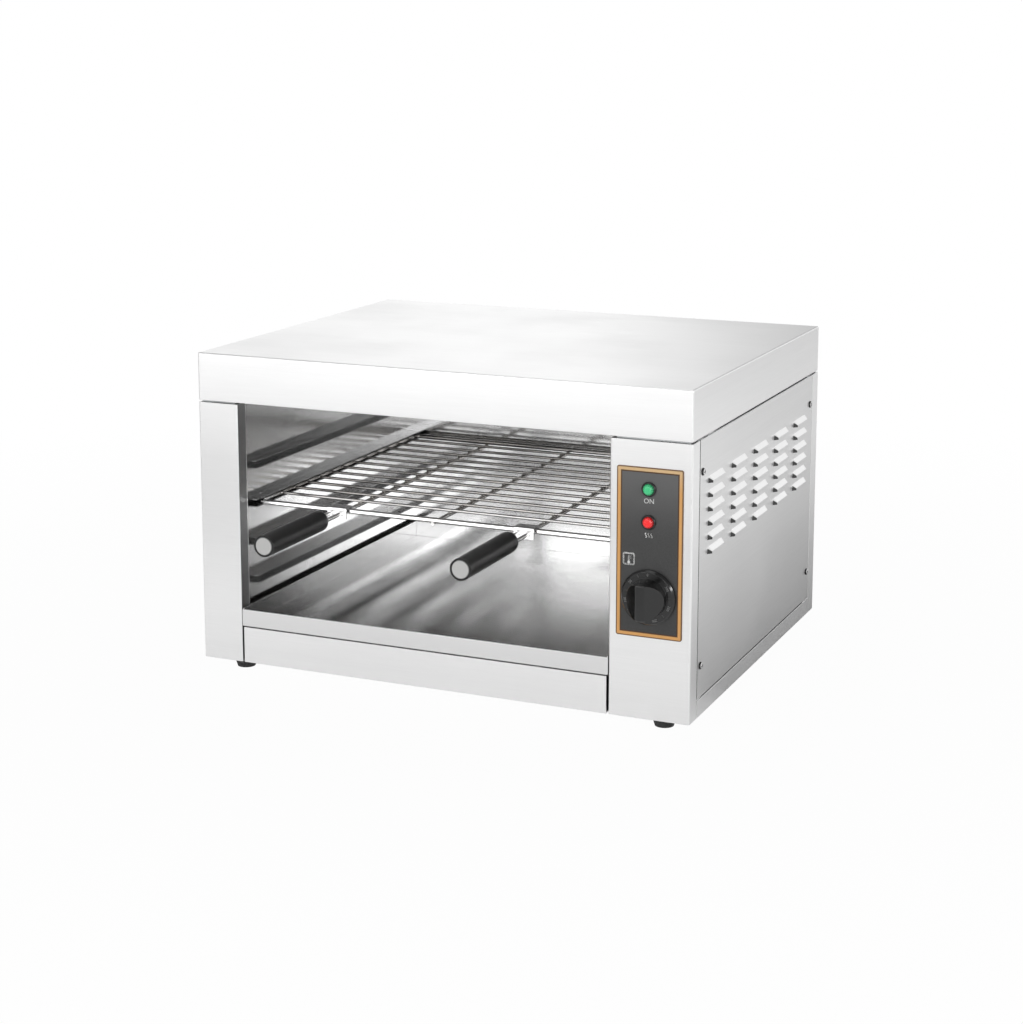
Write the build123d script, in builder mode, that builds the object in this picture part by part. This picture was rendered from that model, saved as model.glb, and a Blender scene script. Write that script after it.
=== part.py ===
from build123d import *
import math
import os

# Countertop cheese melter: a folded stainless cabinet open at the front, with a wire rack that
# slides on side runners, a crumb tray, elements hidden in the hood and a control column on the right.
# Millimetres. +Z is up, the front faces -Y, and Z = 0 is the counter. The origin is below the middle
# of the whole outline, from the handle ends to the cable gland.

# ---- casing ----
BODY_WIDTH = 500.0
BODY_DEPTH = 400.0
BODY_HEIGHT = 302.0
FOOT_HEIGHT = 12.0
SHEET = 1.2
BEND_RADIUS = 1.5
HOOD_HEIGHT = 46.0
HOOD_LIP = 8.0
SHADOW_GAP = 2.0
DECK_INSET = 3.0
POST_WIDTH = 43.0
CONTROL_WIDTH = 77.0
POST_RETURN = 14.0
REAR_FLANGE = 20.0
CORNER_STRIP = 19.0
COVER_LIP = 15.0
SKIRT_HEIGHT = 16.0
JOINT_GAP = 1.5
SEAT_GAP = 0.3

# ---- plinth and chamber ----
PLINTH_HEIGHT = 35.0
PLINTH_GAP = 2.0
FLOOR_SHEET = 1.0
LINER_SETBACK = 5.0
BACK_SPACE = 17.0
LINER_FLANGE = 10.0
LINER_SHEET = 1.2

# ---- crumb tray ----
TRAY_SHEET = 1.0
TRAY_SIDE_GAP = 1.0
TRAY_LIP_GAP = 0.5
TRAY_LIP_HEIGHT = 15.7
TRAY_WALL_HEIGHT = 17.5
TRAY_BACK_GAP = 4.0

# ---- runners ----
RUNNER_COUNT = 4
RUNNER_PITCH = 38.0
FIRST_RUNNER = 74.0
RUNNER_HEIGHT = 8.0
RUNNER_FLANGE = 12.0
RUNNER_SHEET = 1.0
RUNNER_SETBACK = 20.0
RACK_LEVEL_COUNT = 2

# ---- rack ----
FRAME_WIRE = 5.0
CROSS_WIRE = 3.0
SUPPORT_WIRE = 4.0
FRAME_CORNER = 9.0
RACK_SIDE_GAP = 1.0
RACK_SETBACK = 30.0
RACK_DEPTH = 342.0
CROSS_COUNT = 12
CROSS_PITCH = 25.4
FIRST_CROSS = 41.0
SUPPORT_COUNT = 3
SUPPORT_SPACING = 97.0
WELD_GAP = 0.1

# ---- rack handles ----
BRACKET_LENGTH = 20.0
BRACKET_DEPTH = 14.0
BRACKET_FRONT_DROP = 11.0
BRACKET_REAR_DROP = 5.0
BRACKET_SHEET = 1.5
HANDLE_WIRE = 4.0
HANDLE_WIRE_SPACING = 10.0
HANDLE_NECK = 31.0
GRIP_LENGTH = 106.0
GRIP_DIAMETER = 20.0
GRIP_TAPER = 7.0
GRIP_SHOULDER = 3.0
GRIP_BORE_DEPTH = 40.0
BORE_GAP = 0.1
CAP_DIAMETER = 17.0
CAP_THICKNESS = 2.0
CAP_GAP = 0.15
CAP_EDGE = 0.5

# ---- heating ----
REFLECTOR_SHEET = 1.0
REFLECTOR_HEIGHT = 32.0
REFLECTOR_SETBACK = 11.0
REFLECTOR_SLOPE = 20.0
REFLECTOR_FLANGE = 12.0
REFLECTOR_BACK_FLANGE = 6.0
ELEMENT_COUNT = 3
ELEMENT_DIAMETER = 8.5
ELEMENT_DROP = 12.0
FIRST_LEG = 50.0
LEG_PITCH = 60.0
BEND_INSET = 45.0
ELEMENT_TAIL = 24.0
ELEMENT_NUT = 16.0
ELEMENT_NUT_HEIGHT = 6.0
HANGER_INSETS = {"left": 100.0, "right": 280.0}
HANGER_SHEET = 1.2
HANGER_OVERHANG = 10.0
HANGER_DROP = 8.0
HOLE_GAP = 0.3

# ---- control column ----
PANEL_WIDTH = 62.0
PANEL_HEIGHT = 154.5
PANEL_CORNER = 2.0
PANEL_THICKNESS = 0.8
PANEL_INSET = 39.0
PANEL_DROP = 100.8
GREEN_LAMP_DROP = 43.0
RED_LAMP_DROP = 72.7
LAMP_INSET = 39.8
LAMP_BODY = 10.0
LAMP_BODY_LENGTH = 26.0
BEZEL_DIAMETER = 13.5
BEZEL_HEIGHT = 2.0
BEZEL_EDGE = 0.8
LENS_DIAMETER = 10.4
LENS_HEIGHT = 4.6
LENS_DOME = 3.0
KNOB_DROP = 140.6
KNOB_INSET = 39.0
KNOB_DIAMETER = 50.5
KNOB_SKIRT = 3.4
KNOB_GAP = 0.8
HUB_DIAMETER = 36.0
HUB_RISE = 5.0
FIN_WIDTH = 8.0
FIN_RISE = 15.0
FIN_OVERCUT = 2.0
HUB_TAPER = 4.0
KNOB_EDGE = 1.6
SPINDLE_DIAMETER = 6.0
SPINDLE_GAP = 0.05
KNOB_BORE_DEPTH = 14.0
SPINDLE_HOLE = 8.0
SPINDLE_SEAT = 12.0
THERMOSTAT_WIDTH = 44.0
THERMOSTAT_DEPTH = 30.0
THERMOSTAT_HEIGHT = 34.0

# ---- sensor, wiring and cable entry ----
BULB_DIAMETER = 6.0
BULB_LENGTH = 90.0
BULB_SETBACK = 150.0
BULB_DROP = 29.0
CAPILLARY_DIAMETER = 2.0
CAPILLARY_BEND = 10.0
CAPILLARY_SETBACK = 60.0
CLIP_SHEET = 1.0
CLIP_WIDTH = 8.0
CLIP_FOOT = 9.0
TERMINAL_LENGTH = 60.0
TERMINAL_WIDTH = 20.0
TERMINAL_HEIGHT = 18.0
TERMINAL_SETBACK = 70.0
TERMINAL_POLES = 3
TERMINAL_ROW_SPACING = 10.0
TERMINAL_HOLE = 4.0
TERMINAL_HOLE_DEPTH = 8.0
GLAND_INSET = 39.0
GLAND_HEIGHT = 34.0
GLAND_BORE = 9.0
GLAND_THREAD = 16.0
GLAND_COLLAR = 20.0
GLAND_REACH = 12.0
GLAND_TAIL = 9.0
GLAND_EDGE = 2.0
GLAND_NUT = 22.0
GLAND_NUT_HEIGHT = 5.0

# ---- louvred cover ----
LOUVRE_COLUMNS = 5
LOUVRE_ROWS = 6
LOUVRE_COLUMN_PITCH = 67.5
LOUVRE_ROW_PITCH = 13.0
LOUVRE_DROP = 43.0
LOUVRE_LENGTH = 44.0
LOUVRE_RISE = 6.2
LOUVRE_OUT = 3.4
LOUVRE_SLOPE = 50.0
LOUVRE_CORNER = 5.4

# ---- fasteners and feet ----
SCREW_DIAMETER = 4.0
SCREW_HEAD = 7.0
SCREW_HEAD_HEIGHT = 2.0
SCREW_EDGE = 0.8
SCREW_TAIL = 3.5
SCREW_GAP = 0.15
COVER_SCREW_EDGE = 7.5
COVER_SCREW_LOW = 47.0
COVER_SCREW_DROP = 29.5
BACK_SCREW_EDGE = 11.0
BACK_SCREW_MARGIN = 35.0
FOOT_TOP = 25.0
FOOT_BOTTOM = 17.5
FOOT_SIDE = 32.0
FOOT_END = 25.0
FOOT_RECESS = 9.0
FOOT_RECESS_DEPTH = 6.0
VENT_LENGTH = 46.0
VENT_WIDTH = 5.0
VENT_COUNT = 6
VENT_PITCH = 12.0
VENT_CENTRE = 150.0

# ---- stations worked out from the sizes above ----
HANDLE_REACH = GRIP_LENGTH + HANDLE_NECK + BRACKET_DEPTH / 2 - RACK_SETBACK
BODY_Y = (HANDLE_REACH - GLAND_REACH) / 2
FRONT = BODY_Y - BODY_DEPTH / 2
BACK = FRONT + BODY_DEPTH
LEFT = -BODY_WIDTH / 2
RIGHT = BODY_WIDTH / 2
BASE_Z = FOOT_HEIGHT
TOP_Z = BASE_Z + BODY_HEIGHT
HOOD_Z = TOP_Z - HOOD_HEIGHT
CASING_TOP = HOOD_Z - SHADOW_GAP
OPEN_LEFT = LEFT + POST_WIDTH
OPEN_RIGHT = RIGHT - CONTROL_WIDTH
CHAMBER_LEFT = OPEN_LEFT - LINER_SETBACK
CHAMBER_RIGHT = OPEN_RIGHT + LINER_SETBACK
CHAMBER_BACK = BACK - BACK_SPACE
CHAMBER_FRONT = FRONT + POST_RETURN
CHAMBER_X = (CHAMBER_LEFT + CHAMBER_RIGHT) / 2
FLOOR_TOP = BASE_Z + PLINTH_HEIGHT + FLOOR_SHEET
INNER_BACK = BACK - 2 * SHEET
TRAY_Z = FLOOR_TOP + SEAT_GAP
LIP_Z = BASE_Z + PLINTH_HEIGHT + PLINTH_GAP
RUNNER_BOTTOMS = [BASE_Z + FIRST_RUNNER + RUNNER_PITCH * level for level in range(RUNNER_COUNT)]
RACK_Z = RUNNER_BOTTOMS[RACK_LEVEL_COUNT] + RUNNER_SHEET + SEAT_GAP + FRAME_WIRE / 2
RACK_LEFT = OPEN_LEFT + RACK_SIDE_GAP + FRAME_WIRE / 2
RACK_RIGHT = OPEN_RIGHT - RACK_SIDE_GAP - FRAME_WIRE / 2
RACK_FRONT = FRONT + RACK_SETBACK
RACK_BACK = RACK_FRONT + RACK_DEPTH
HANDLE_XS = {"left": CHAMBER_X - SUPPORT_SPACING, "right": CHAMBER_X + SUPPORT_SPACING}
BRACKET_FRONT = RACK_FRONT - BRACKET_DEPTH / 2
GRIP_REAR = BRACKET_FRONT - HANDLE_NECK
GRIP_FRONT = GRIP_REAR - GRIP_LENGTH
BRACKET_TOP = RACK_Z + FRAME_WIRE / 2 + WELD_GAP + BRACKET_SHEET
HANDLE_Z = BRACKET_TOP - BRACKET_FRONT_DROP / 2
LEG_YS = [FRONT + FIRST_LEG + LEG_PITCH * leg for leg in range(2 * ELEMENT_COUNT)]
ELEMENT_Z = HOOD_Z + ELEMENT_DROP
REFLECTOR_FRONT = FRONT + REFLECTOR_SETBACK
PANEL_X = RIGHT - PANEL_INSET
LAMP_X = RIGHT - LAMP_INSET
KNOB_X = RIGHT - KNOB_INSET
KNOB_Z = CASING_TOP - KNOB_DROP
PANEL_Z = CASING_TOP - PANEL_DROP
GREEN_LAMP_Z = CASING_TOP - GREEN_LAMP_DROP
RED_LAMP_Z = CASING_TOP - RED_LAMP_DROP
PANEL_FACE = FRONT - PANEL_THICKNESS
KNOB_BACK = PANEL_FACE - KNOB_GAP
GLAND_X = RIGHT - GLAND_INSET
GLAND_Z = BASE_Z + GLAND_HEIGHT
COVER_FRONT = FRONT + CORNER_STRIP + JOINT_GAP
COVER_BACK = BACK - CORNER_STRIP - JOINT_GAP
COVER_BOTTOM = BASE_Z + SKIRT_HEIGHT + JOINT_GAP
COVER_SCREW_YS = [COVER_FRONT + COVER_SCREW_EDGE, COVER_BACK - COVER_SCREW_EDGE]
COVER_SCREW_ZS = [BASE_Z + COVER_SCREW_LOW, CASING_TOP - COVER_SCREW_DROP]
BACK_SCREW_XS = [LEFT + BACK_SCREW_EDGE, RIGHT - BACK_SCREW_EDGE]
BACK_SCREW_ZS = [BASE_Z + BACK_SCREW_MARGIN, CASING_TOP - BACK_SCREW_MARGIN]
FOOT_PLACES = {
    "front_left": (LEFT + FOOT_SIDE, FRONT + FOOT_END),
    "front_right": (RIGHT - FOOT_SIDE, FRONT + FOOT_END),
    "back_left": (LEFT + FOOT_SIDE, BACK - FOOT_END),
    "back_right": (RIGHT - FOOT_SIDE, BACK - FOOT_END),
}
BULB_X = CHAMBER_RIGHT + LINER_SHEET + CLIP_SHEET + BULB_DIAMETER / 2 + BORE_GAP
BULB_Z = CASING_TOP - BULB_DROP
BULB_FRONT = FRONT + BULB_SETBACK


def export(piece, name):
    """Label a finished piece and write it under its own name."""
    piece.part.label = name
    export_step(piece.part, f"parts/{name}.step")


def folded(path, thickness):
    """Closed section of a bent sheet: its outer face follows path and the metal lies on the left."""
    inner = []
    for index, (x, y) in enumerate(path):
        ahead = path[min(index + 1, len(path) - 1)]
        behind = path[max(index - 1, 0)]
        leaving = Vector(ahead[0] - x, ahead[1] - y) if index < len(path) - 1 else None
        arriving = Vector(x - behind[0], y - behind[1]) if index > 0 else leaving
        leaving = leaving or arriving
        normal_in = Vector(-arriving.Y, arriving.X).normalized()
        normal_out = Vector(-leaving.Y, leaving.X).normalized()
        mitre = (normal_in + normal_out) * (thickness / (1 + normal_in.dot(normal_out)))
        inner.append((x + mitre.X, y + mitre.Y))
    with BuildSketch() as section:
        with BuildLine():
            Polyline(*path, *reversed(inner), close=True)
        make_face()
    return section.sketch


def span(low, high):
    """Middle and length of the stretch from low to high."""
    return (low + high) / 2, high - low


def block(x_range, y_range, z_range):
    """Plain block between two corners, for use inside a part that is being built."""
    x, width = span(*x_range)
    y, depth = span(*y_range)
    with BuildSketch(Plane.XY.offset(z_range[0])) as base:
        with Locations((x, y)):
            Rectangle(width, depth)
    return extrude(base.sketch, amount=z_range[1] - z_range[0], mode=Mode.PRIVATE)


# ---- casing ----


def make_hood_cover():
    """Folded cap over the whole cabinet, with its lower edge turned in all round."""
    with BuildPart() as hood_cover:
        with BuildSketch(Plane.XY.offset(HOOD_Z)):
            with Locations((0, BODY_Y)):
                Rectangle(BODY_WIDTH, BODY_DEPTH)
        extrude(amount=HOOD_HEIGHT)
        fillet(hood_cover.edges().filter_by(Axis.Z), BEND_RADIUS)
        fillet(hood_cover.faces().sort_by(Axis.Z)[-1].edges(), BEND_RADIUS)
        with BuildSketch(Plane.XY.offset(HOOD_Z + SHEET)):
            with Locations((0, BODY_Y)):
                Rectangle(BODY_WIDTH - 2 * SHEET, BODY_DEPTH - 2 * SHEET)
        extrude(amount=HOOD_HEIGHT - 2 * SHEET, mode=Mode.SUBTRACT)
        with BuildSketch(Plane.XY.offset(HOOD_Z)):
            with Locations((0, BODY_Y)):
                Rectangle(BODY_WIDTH - 2 * (SHEET + HOOD_LIP), BODY_DEPTH - 2 * (SHEET + HOOD_LIP))
        extrude(amount=SHEET, mode=Mode.SUBTRACT)
    export(hood_cover, "hood_cover")


def make_top_deck():
    """Inset plate that carries the hood and leaves the shadow line, open over the chamber."""
    chamber_x, chamber_width = span(CHAMBER_LEFT, CHAMBER_RIGHT)
    chamber_y, chamber_depth = span(FRONT, CHAMBER_BACK)
    with BuildPart() as top_deck:
        with BuildSketch(Plane.XY.offset(CASING_TOP)):
            with Locations((0, BODY_Y)):
                Rectangle(BODY_WIDTH - 2 * DECK_INSET, BODY_DEPTH - 2 * DECK_INSET)
            with Locations((chamber_x, chamber_y)):
                Rectangle(chamber_width, chamber_depth, mode=Mode.SUBTRACT)
        extrude(amount=SHADOW_GAP)
    export(top_deck, "top_deck")


def make_left_casing():
    """Left side wall, front post and rear flange folded from one sheet, with a flange at the top."""
    path = [
        (LEFT + REAR_FLANGE, BACK - SHEET),
        (LEFT, BACK - SHEET),
        (LEFT, FRONT),
        (OPEN_LEFT, FRONT),
        (OPEN_LEFT, CHAMBER_FRONT),
    ]
    with BuildPart() as left_casing:
        with BuildSketch(Plane.XY.offset(BASE_Z)):
            add(folded(path, SHEET))
        extrude(amount=CASING_TOP - BASE_Z)
        fillet(left_casing.edges().filter_by(Axis.Z).group_by(Axis.Y)[0], BEND_RADIUS)
        flange_x = (LEFT + SHEET, LEFT + REAR_FLANGE)
        add(block(flange_x, (CHAMBER_FRONT, INNER_BACK), (CASING_TOP - SHEET, CASING_TOP)))
        with BuildSketch(Plane.XZ.offset(SHEET - BACK)):
            with Locations([(BACK_SCREW_XS[0], z) for z in BACK_SCREW_ZS]):
                Circle(SCREW_DIAMETER / 2 + SCREW_GAP)
        extrude(amount=SHEET, mode=Mode.SUBTRACT)
    export(left_casing, "left_casing")


def make_control_column():
    """Front of the control side, with the chamber return and a set-in lip for the side cover."""
    lip_y = (FRONT + CORNER_STRIP, FRONT + CORNER_STRIP + COVER_LIP)
    path = [
        (OPEN_RIGHT, CHAMBER_FRONT),
        (OPEN_RIGHT, FRONT),
        (RIGHT, FRONT),
        (RIGHT, lip_y[0]),
        (RIGHT - SHEET, lip_y[0]),
        (RIGHT - SHEET, lip_y[1]),
    ]
    with BuildPart() as control_column:
        with BuildSketch(Plane.XY.offset(BASE_Z)):
            add(folded(path, SHEET))
        extrude(amount=CASING_TOP - BASE_Z)
        fillet(control_column.edges().filter_by(Axis.Z).group_by(Axis.Y)[0], BEND_RADIUS)
        skirt_slot = block((RIGHT - 3 * SHEET, RIGHT), lip_y, (BASE_Z, BASE_Z + SKIRT_HEIGHT))
        add(skirt_slot, mode=Mode.SUBTRACT)
        with BuildSketch(Plane.XZ.offset(-FRONT)):
            with Locations((LAMP_X, GREEN_LAMP_Z), (LAMP_X, RED_LAMP_Z)):
                Circle(LAMP_BODY / 2 + SCREW_GAP)
            with Locations((KNOB_X, KNOB_Z)):
                Circle(SPINDLE_HOLE / 2)
        extrude(amount=-SHEET, mode=Mode.SUBTRACT)
        with BuildSketch(Plane.YZ.offset(RIGHT - 2 * SHEET)):
            with Locations([(COVER_SCREW_YS[0], z) for z in COVER_SCREW_ZS]):
                Circle(SCREW_DIAMETER / 2 + SCREW_GAP)
        extrude(amount=SHEET, mode=Mode.SUBTRACT)
    export(control_column, "control_column")


def make_right_rear_post():
    """Folded corner at the right rear, with the same set-in lip for the side cover."""
    lip_y = (BACK - CORNER_STRIP - COVER_LIP, BACK - CORNER_STRIP)
    path = [
        (RIGHT - SHEET, lip_y[0]),
        (RIGHT - SHEET, lip_y[1]),
        (RIGHT, lip_y[1]),
        (RIGHT, BACK - SHEET),
        (RIGHT - REAR_FLANGE, BACK - SHEET),
    ]
    with BuildPart() as right_rear_post:
        with BuildSketch(Plane.XY.offset(BASE_Z)):
            add(folded(path, SHEET))
        extrude(amount=CASING_TOP - BASE_Z)
        slot_y = (lip_y[0], lip_y[1] + SHEET)
        skirt_slot = block((RIGHT - 3 * SHEET, RIGHT - SHEET), slot_y, (BASE_Z, BASE_Z + SKIRT_HEIGHT))
        add(skirt_slot, mode=Mode.SUBTRACT)
        with BuildSketch(Plane.YZ.offset(RIGHT - 2 * SHEET)):
            with Locations([(COVER_SCREW_YS[1], z) for z in COVER_SCREW_ZS]):
                Circle(SCREW_DIAMETER / 2 + SCREW_GAP)
        extrude(amount=SHEET, mode=Mode.SUBTRACT)
        with BuildSketch(Plane.XZ.offset(SHEET - BACK)):
            with Locations([(BACK_SCREW_XS[1], z) for z in BACK_SCREW_ZS]):
                Circle(SCREW_DIAMETER / 2 + SCREW_GAP)
        extrude(amount=SHEET, mode=Mode.SUBTRACT)
    export(right_rear_post, "right_rear_post")


def louvre_scoop(length, rise, corner, out):
    """Upper half of a sloping pressed blister beside the plane X = 0, with its mouth downwards."""
    with BuildPart() as scoop:
        with BuildSketch(Plane.YZ):
            RectangleRounded(length, 2 * rise, corner)
        extrude(amount=out, taper=LOUVRE_SLOPE)
        split(bisect_by=Plane.XY, keep=Keep.TOP)
    return scoop.part


def make_louvred_cover():
    """Side cover with rows of pressed louvres that open downwards, held by a screw at each corner."""
    row_zs = [CASING_TOP - LOUVRE_DROP - LOUVRE_ROW_PITCH * row for row in range(LOUVRE_ROWS)]
    middle = (LOUVRE_COLUMNS - 1) / 2
    column_ys = [BODY_Y + LOUVRE_COLUMN_PITCH * (column - middle) for column in range(LOUVRE_COLUMNS)]
    places = [(RIGHT, y, z) for y in column_ys for z in row_zs]
    inner_rise = LOUVRE_RISE - SHEET
    inner_length = LOUVRE_LENGTH - 2 * SHEET
    inner_corner = LOUVRE_CORNER - SHEET
    outer = louvre_scoop(LOUVRE_LENGTH, LOUVRE_RISE, LOUVRE_CORNER, LOUVRE_OUT)
    inner = louvre_scoop(inner_length, inner_rise, inner_corner, LOUVRE_OUT - SHEET)
    with BuildPart() as slot:
        with BuildSketch(Plane.YZ.offset(-SHEET)):
            with Locations((0, inner_rise / 2)):
                Rectangle(inner_length - 2 * inner_corner, inner_rise)
        extrude(amount=SHEET)
    with BuildPart() as louvred_cover:
        add(block((RIGHT - SHEET, RIGHT), (COVER_FRONT, COVER_BACK), (COVER_BOTTOM, CASING_TOP)))
        with Locations(*places):
            add(outer)
        with Locations(*places):
            add(inner, mode=Mode.SUBTRACT)
        with Locations(*places):
            add(slot.part, mode=Mode.SUBTRACT)
        with BuildSketch(Plane.YZ.offset(RIGHT - SHEET)):
            with Locations([(y, z) for y in COVER_SCREW_YS for z in COVER_SCREW_ZS]):
                Circle(SCREW_DIAMETER / 2 + SCREW_GAP)
        extrude(amount=SHEET, mode=Mode.SUBTRACT)
    export(louvred_cover, "louvred_cover")


def make_back_panel():
    """Flat rear sheet with a vent grid behind the wiring space and the hole for the cable gland."""
    with BuildPart() as back_panel:
        add(block((LEFT, RIGHT), (BACK - SHEET, BACK), (BASE_Z, CASING_TOP)))
        with BuildSketch(Plane.XZ.offset(-BACK)):
            with Locations((GLAND_X, GLAND_Z)):
                Circle(GLAND_THREAD / 2 + SCREW_GAP)
            with Locations([(x, z) for x in BACK_SCREW_XS for z in BACK_SCREW_ZS]):
                Circle(SCREW_DIAMETER / 2 + SCREW_GAP)
            with Locations((GLAND_X, BASE_Z + VENT_CENTRE)):
                with GridLocations(VENT_LENGTH, VENT_PITCH, 1, VENT_COUNT):
                    SlotOverall(VENT_LENGTH, VENT_WIDTH)
        extrude(amount=SHEET, mode=Mode.SUBTRACT)
    export(back_panel, "back_panel")


def make_base_pan():
    """Bottom sheet, its left edge turned up inside the casing and its right edge showing as a skirt."""
    plate_y = (CHAMBER_FRONT, INNER_BACK)
    skirt_x = RIGHT - 3 * SHEET
    with BuildPart() as base_pan:
        add(block((LEFT + SHEET, skirt_x), plate_y, (BASE_Z, BASE_Z + SHEET)))
        for corner_x in ((LEFT + SHEET, OPEN_LEFT - SHEET), (OPEN_RIGHT + SHEET, RIGHT - SHEET)):
            add(block(corner_x, (FRONT + SHEET, CHAMBER_FRONT), (BASE_Z, BASE_Z + SHEET)))
        add(block((skirt_x, RIGHT), (COVER_FRONT, COVER_BACK), (BASE_Z, BASE_Z + SHEET)))
        add(block((RIGHT - SHEET, RIGHT), (COVER_FRONT, COVER_BACK), (BASE_Z, BASE_Z + SKIRT_HEIGHT)))
        add(block((LEFT + SHEET, LEFT + 2 * SHEET), plate_y, (BASE_Z, BASE_Z + SKIRT_HEIGHT)))
        with BuildSketch(Plane.XY.offset(BASE_Z)):
            with Locations(*FOOT_PLACES.values()):
                Circle(SCREW_DIAMETER / 2 + SCREW_GAP)
        extrude(amount=SHEET, mode=Mode.SUBTRACT)
    export(base_pan, "base_pan")


def make_chamber_floor():
    """Sheet under the crumb tray, folded down on both sides to stand on the base pan."""
    outer_left = CHAMBER_LEFT - LINER_SHEET
    outer_right = CHAMBER_RIGHT + LINER_SHEET
    path = [
        (outer_right, BASE_Z + SHEET),
        (outer_right, FLOOR_TOP),
        (outer_left, FLOOR_TOP),
        (outer_left, BASE_Z + SHEET),
    ]
    with BuildPart() as chamber_floor:
        with BuildSketch(Plane.XZ.offset(-CHAMBER_BACK - LINER_SHEET)):
            add(folded(path, FLOOR_SHEET))
        extrude(amount=CHAMBER_BACK + LINER_SHEET - CHAMBER_FRONT)
    export(chamber_floor, "chamber_floor")


def make_lower_front_panel():
    """Plinth panel between the post and the control column, with its long edges turned back."""
    path = [
        (CHAMBER_FRONT, BASE_Z + PLINTH_HEIGHT),
        (FRONT, BASE_Z + PLINTH_HEIGHT),
        (FRONT, BASE_Z),
        (CHAMBER_FRONT, BASE_Z),
    ]
    with BuildPart() as lower_front_panel:
        with BuildSketch(Plane.YZ.offset(OPEN_LEFT + PLINTH_GAP)):
            add(folded(path, SHEET))
        extrude(amount=OPEN_RIGHT - OPEN_LEFT - 2 * PLINTH_GAP)
    export(lower_front_panel, "lower_front_panel")


def make_feet():
    """Four tapered rubber feet with a recess for the head of the screw that holds each one."""
    for place, centre in FOOT_PLACES.items():
        with BuildPart() as foot:
            with BuildSketch(Plane.XY):
                with Locations(centre):
                    Circle(FOOT_BOTTOM / 2)
            with BuildSketch(Plane.XY.offset(FOOT_HEIGHT)):
                with Locations(centre):
                    Circle(FOOT_TOP / 2)
            loft()
            with BuildSketch(Plane.XY):
                with Locations(centre):
                    Circle(FOOT_RECESS / 2)
            extrude(amount=FOOT_RECESS_DEPTH, mode=Mode.SUBTRACT)
            with BuildSketch(Plane.XY):
                with Locations(centre):
                    Circle(SCREW_DIAMETER / 2 + SCREW_GAP)
            extrude(amount=FOOT_HEIGHT, mode=Mode.SUBTRACT)
        export(foot, f"foot_{place}")


def make_foot_screws():
    """Pan head screws up through the feet into the base pan."""
    with BuildPart() as foot_screws:
        with BuildSketch(Plane.XY.offset(FOOT_RECESS_DEPTH)):
            with Locations(*FOOT_PLACES.values()):
                Circle(SCREW_HEAD / 2)
        extrude(amount=-SCREW_HEAD_HEIGHT)
        with BuildSketch(Plane.XY.offset(FOOT_RECESS_DEPTH)):
            with Locations(*FOOT_PLACES.values()):
                Circle(SCREW_DIAMETER / 2)
        extrude(amount=FOOT_HEIGHT - FOOT_RECESS_DEPTH + SHEET + SCREW_TAIL)
    export(foot_screws, "foot_screws")


def make_panel_screws():
    """Pan head screws that hold the louvred cover and the back panel."""
    cover_places = [(y, z) for y in COVER_SCREW_YS for z in COVER_SCREW_ZS]
    back_places = [(x, z) for x in BACK_SCREW_XS for z in BACK_SCREW_ZS]
    with BuildPart() as panel_screws:
        with BuildSketch(Plane.YZ.offset(RIGHT)):
            with Locations(cover_places):
                Circle(SCREW_HEAD / 2)
        extrude(amount=SCREW_HEAD_HEIGHT)
        chamfer(panel_screws.faces().filter_by(Axis.X).group_by(Axis.X)[-1].edges(), SCREW_EDGE)
        with BuildSketch(Plane.YZ.offset(RIGHT)):
            with Locations(cover_places):
                Circle(SCREW_DIAMETER / 2)
        extrude(amount=-2 * SHEET - SCREW_TAIL)
        with BuildSketch(Plane.XZ.offset(-BACK)):
            with Locations(back_places):
                Circle(SCREW_HEAD / 2)
        extrude(amount=-SCREW_HEAD_HEIGHT)
        chamfer(panel_screws.faces().filter_by(Axis.Y).group_by(Axis.Y)[-1].edges(), SCREW_EDGE)
        with BuildSketch(Plane.XZ.offset(-BACK)):
            with Locations(back_places):
                Circle(SCREW_DIAMETER / 2)
        extrude(amount=2 * SHEET + SCREW_TAIL)
    export(panel_screws, "panel_screws")


# ---- chamber ----


def make_side_liners():
    """Bright side walls of the chamber, turned out under the deck and in behind the front returns."""
    front_edges = {"left": (CHAMBER_LEFT, OPEN_LEFT), "right": (OPEN_RIGHT, CHAMBER_RIGHT)}
    edge_y = (CHAMBER_FRONT, CHAMBER_FRONT + LINER_SHEET)
    paths = {
        "left": [
            (CHAMBER_LEFT, FLOOR_TOP),
            (CHAMBER_LEFT, CASING_TOP),
            (CHAMBER_LEFT - LINER_FLANGE, CASING_TOP),
        ],
        "right": [
            (CHAMBER_RIGHT + LINER_FLANGE, CASING_TOP),
            (CHAMBER_RIGHT, CASING_TOP),
            (CHAMBER_RIGHT, FLOOR_TOP),
        ],
    }
    for side, path in paths.items():
        with BuildPart() as liner:
            with BuildSketch(Plane.XZ.offset(-CHAMBER_BACK)):
                add(folded(path, LINER_SHEET))
            extrude(amount=CHAMBER_BACK - CHAMBER_FRONT)
            add(block(front_edges[side], edge_y, (FLOOR_TOP, CASING_TOP)))
        export(liner, f"{side}_liner")


def make_back_liner():
    """Rear wall of the chamber."""
    liner_x = (CHAMBER_LEFT - LINER_SHEET, CHAMBER_RIGHT + LINER_SHEET)
    with BuildPart() as back_liner:
        add(block(liner_x, (CHAMBER_BACK, CHAMBER_BACK + LINER_SHEET), (FLOOR_TOP, CASING_TOP)))
    export(back_liner, "back_liner")


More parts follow.
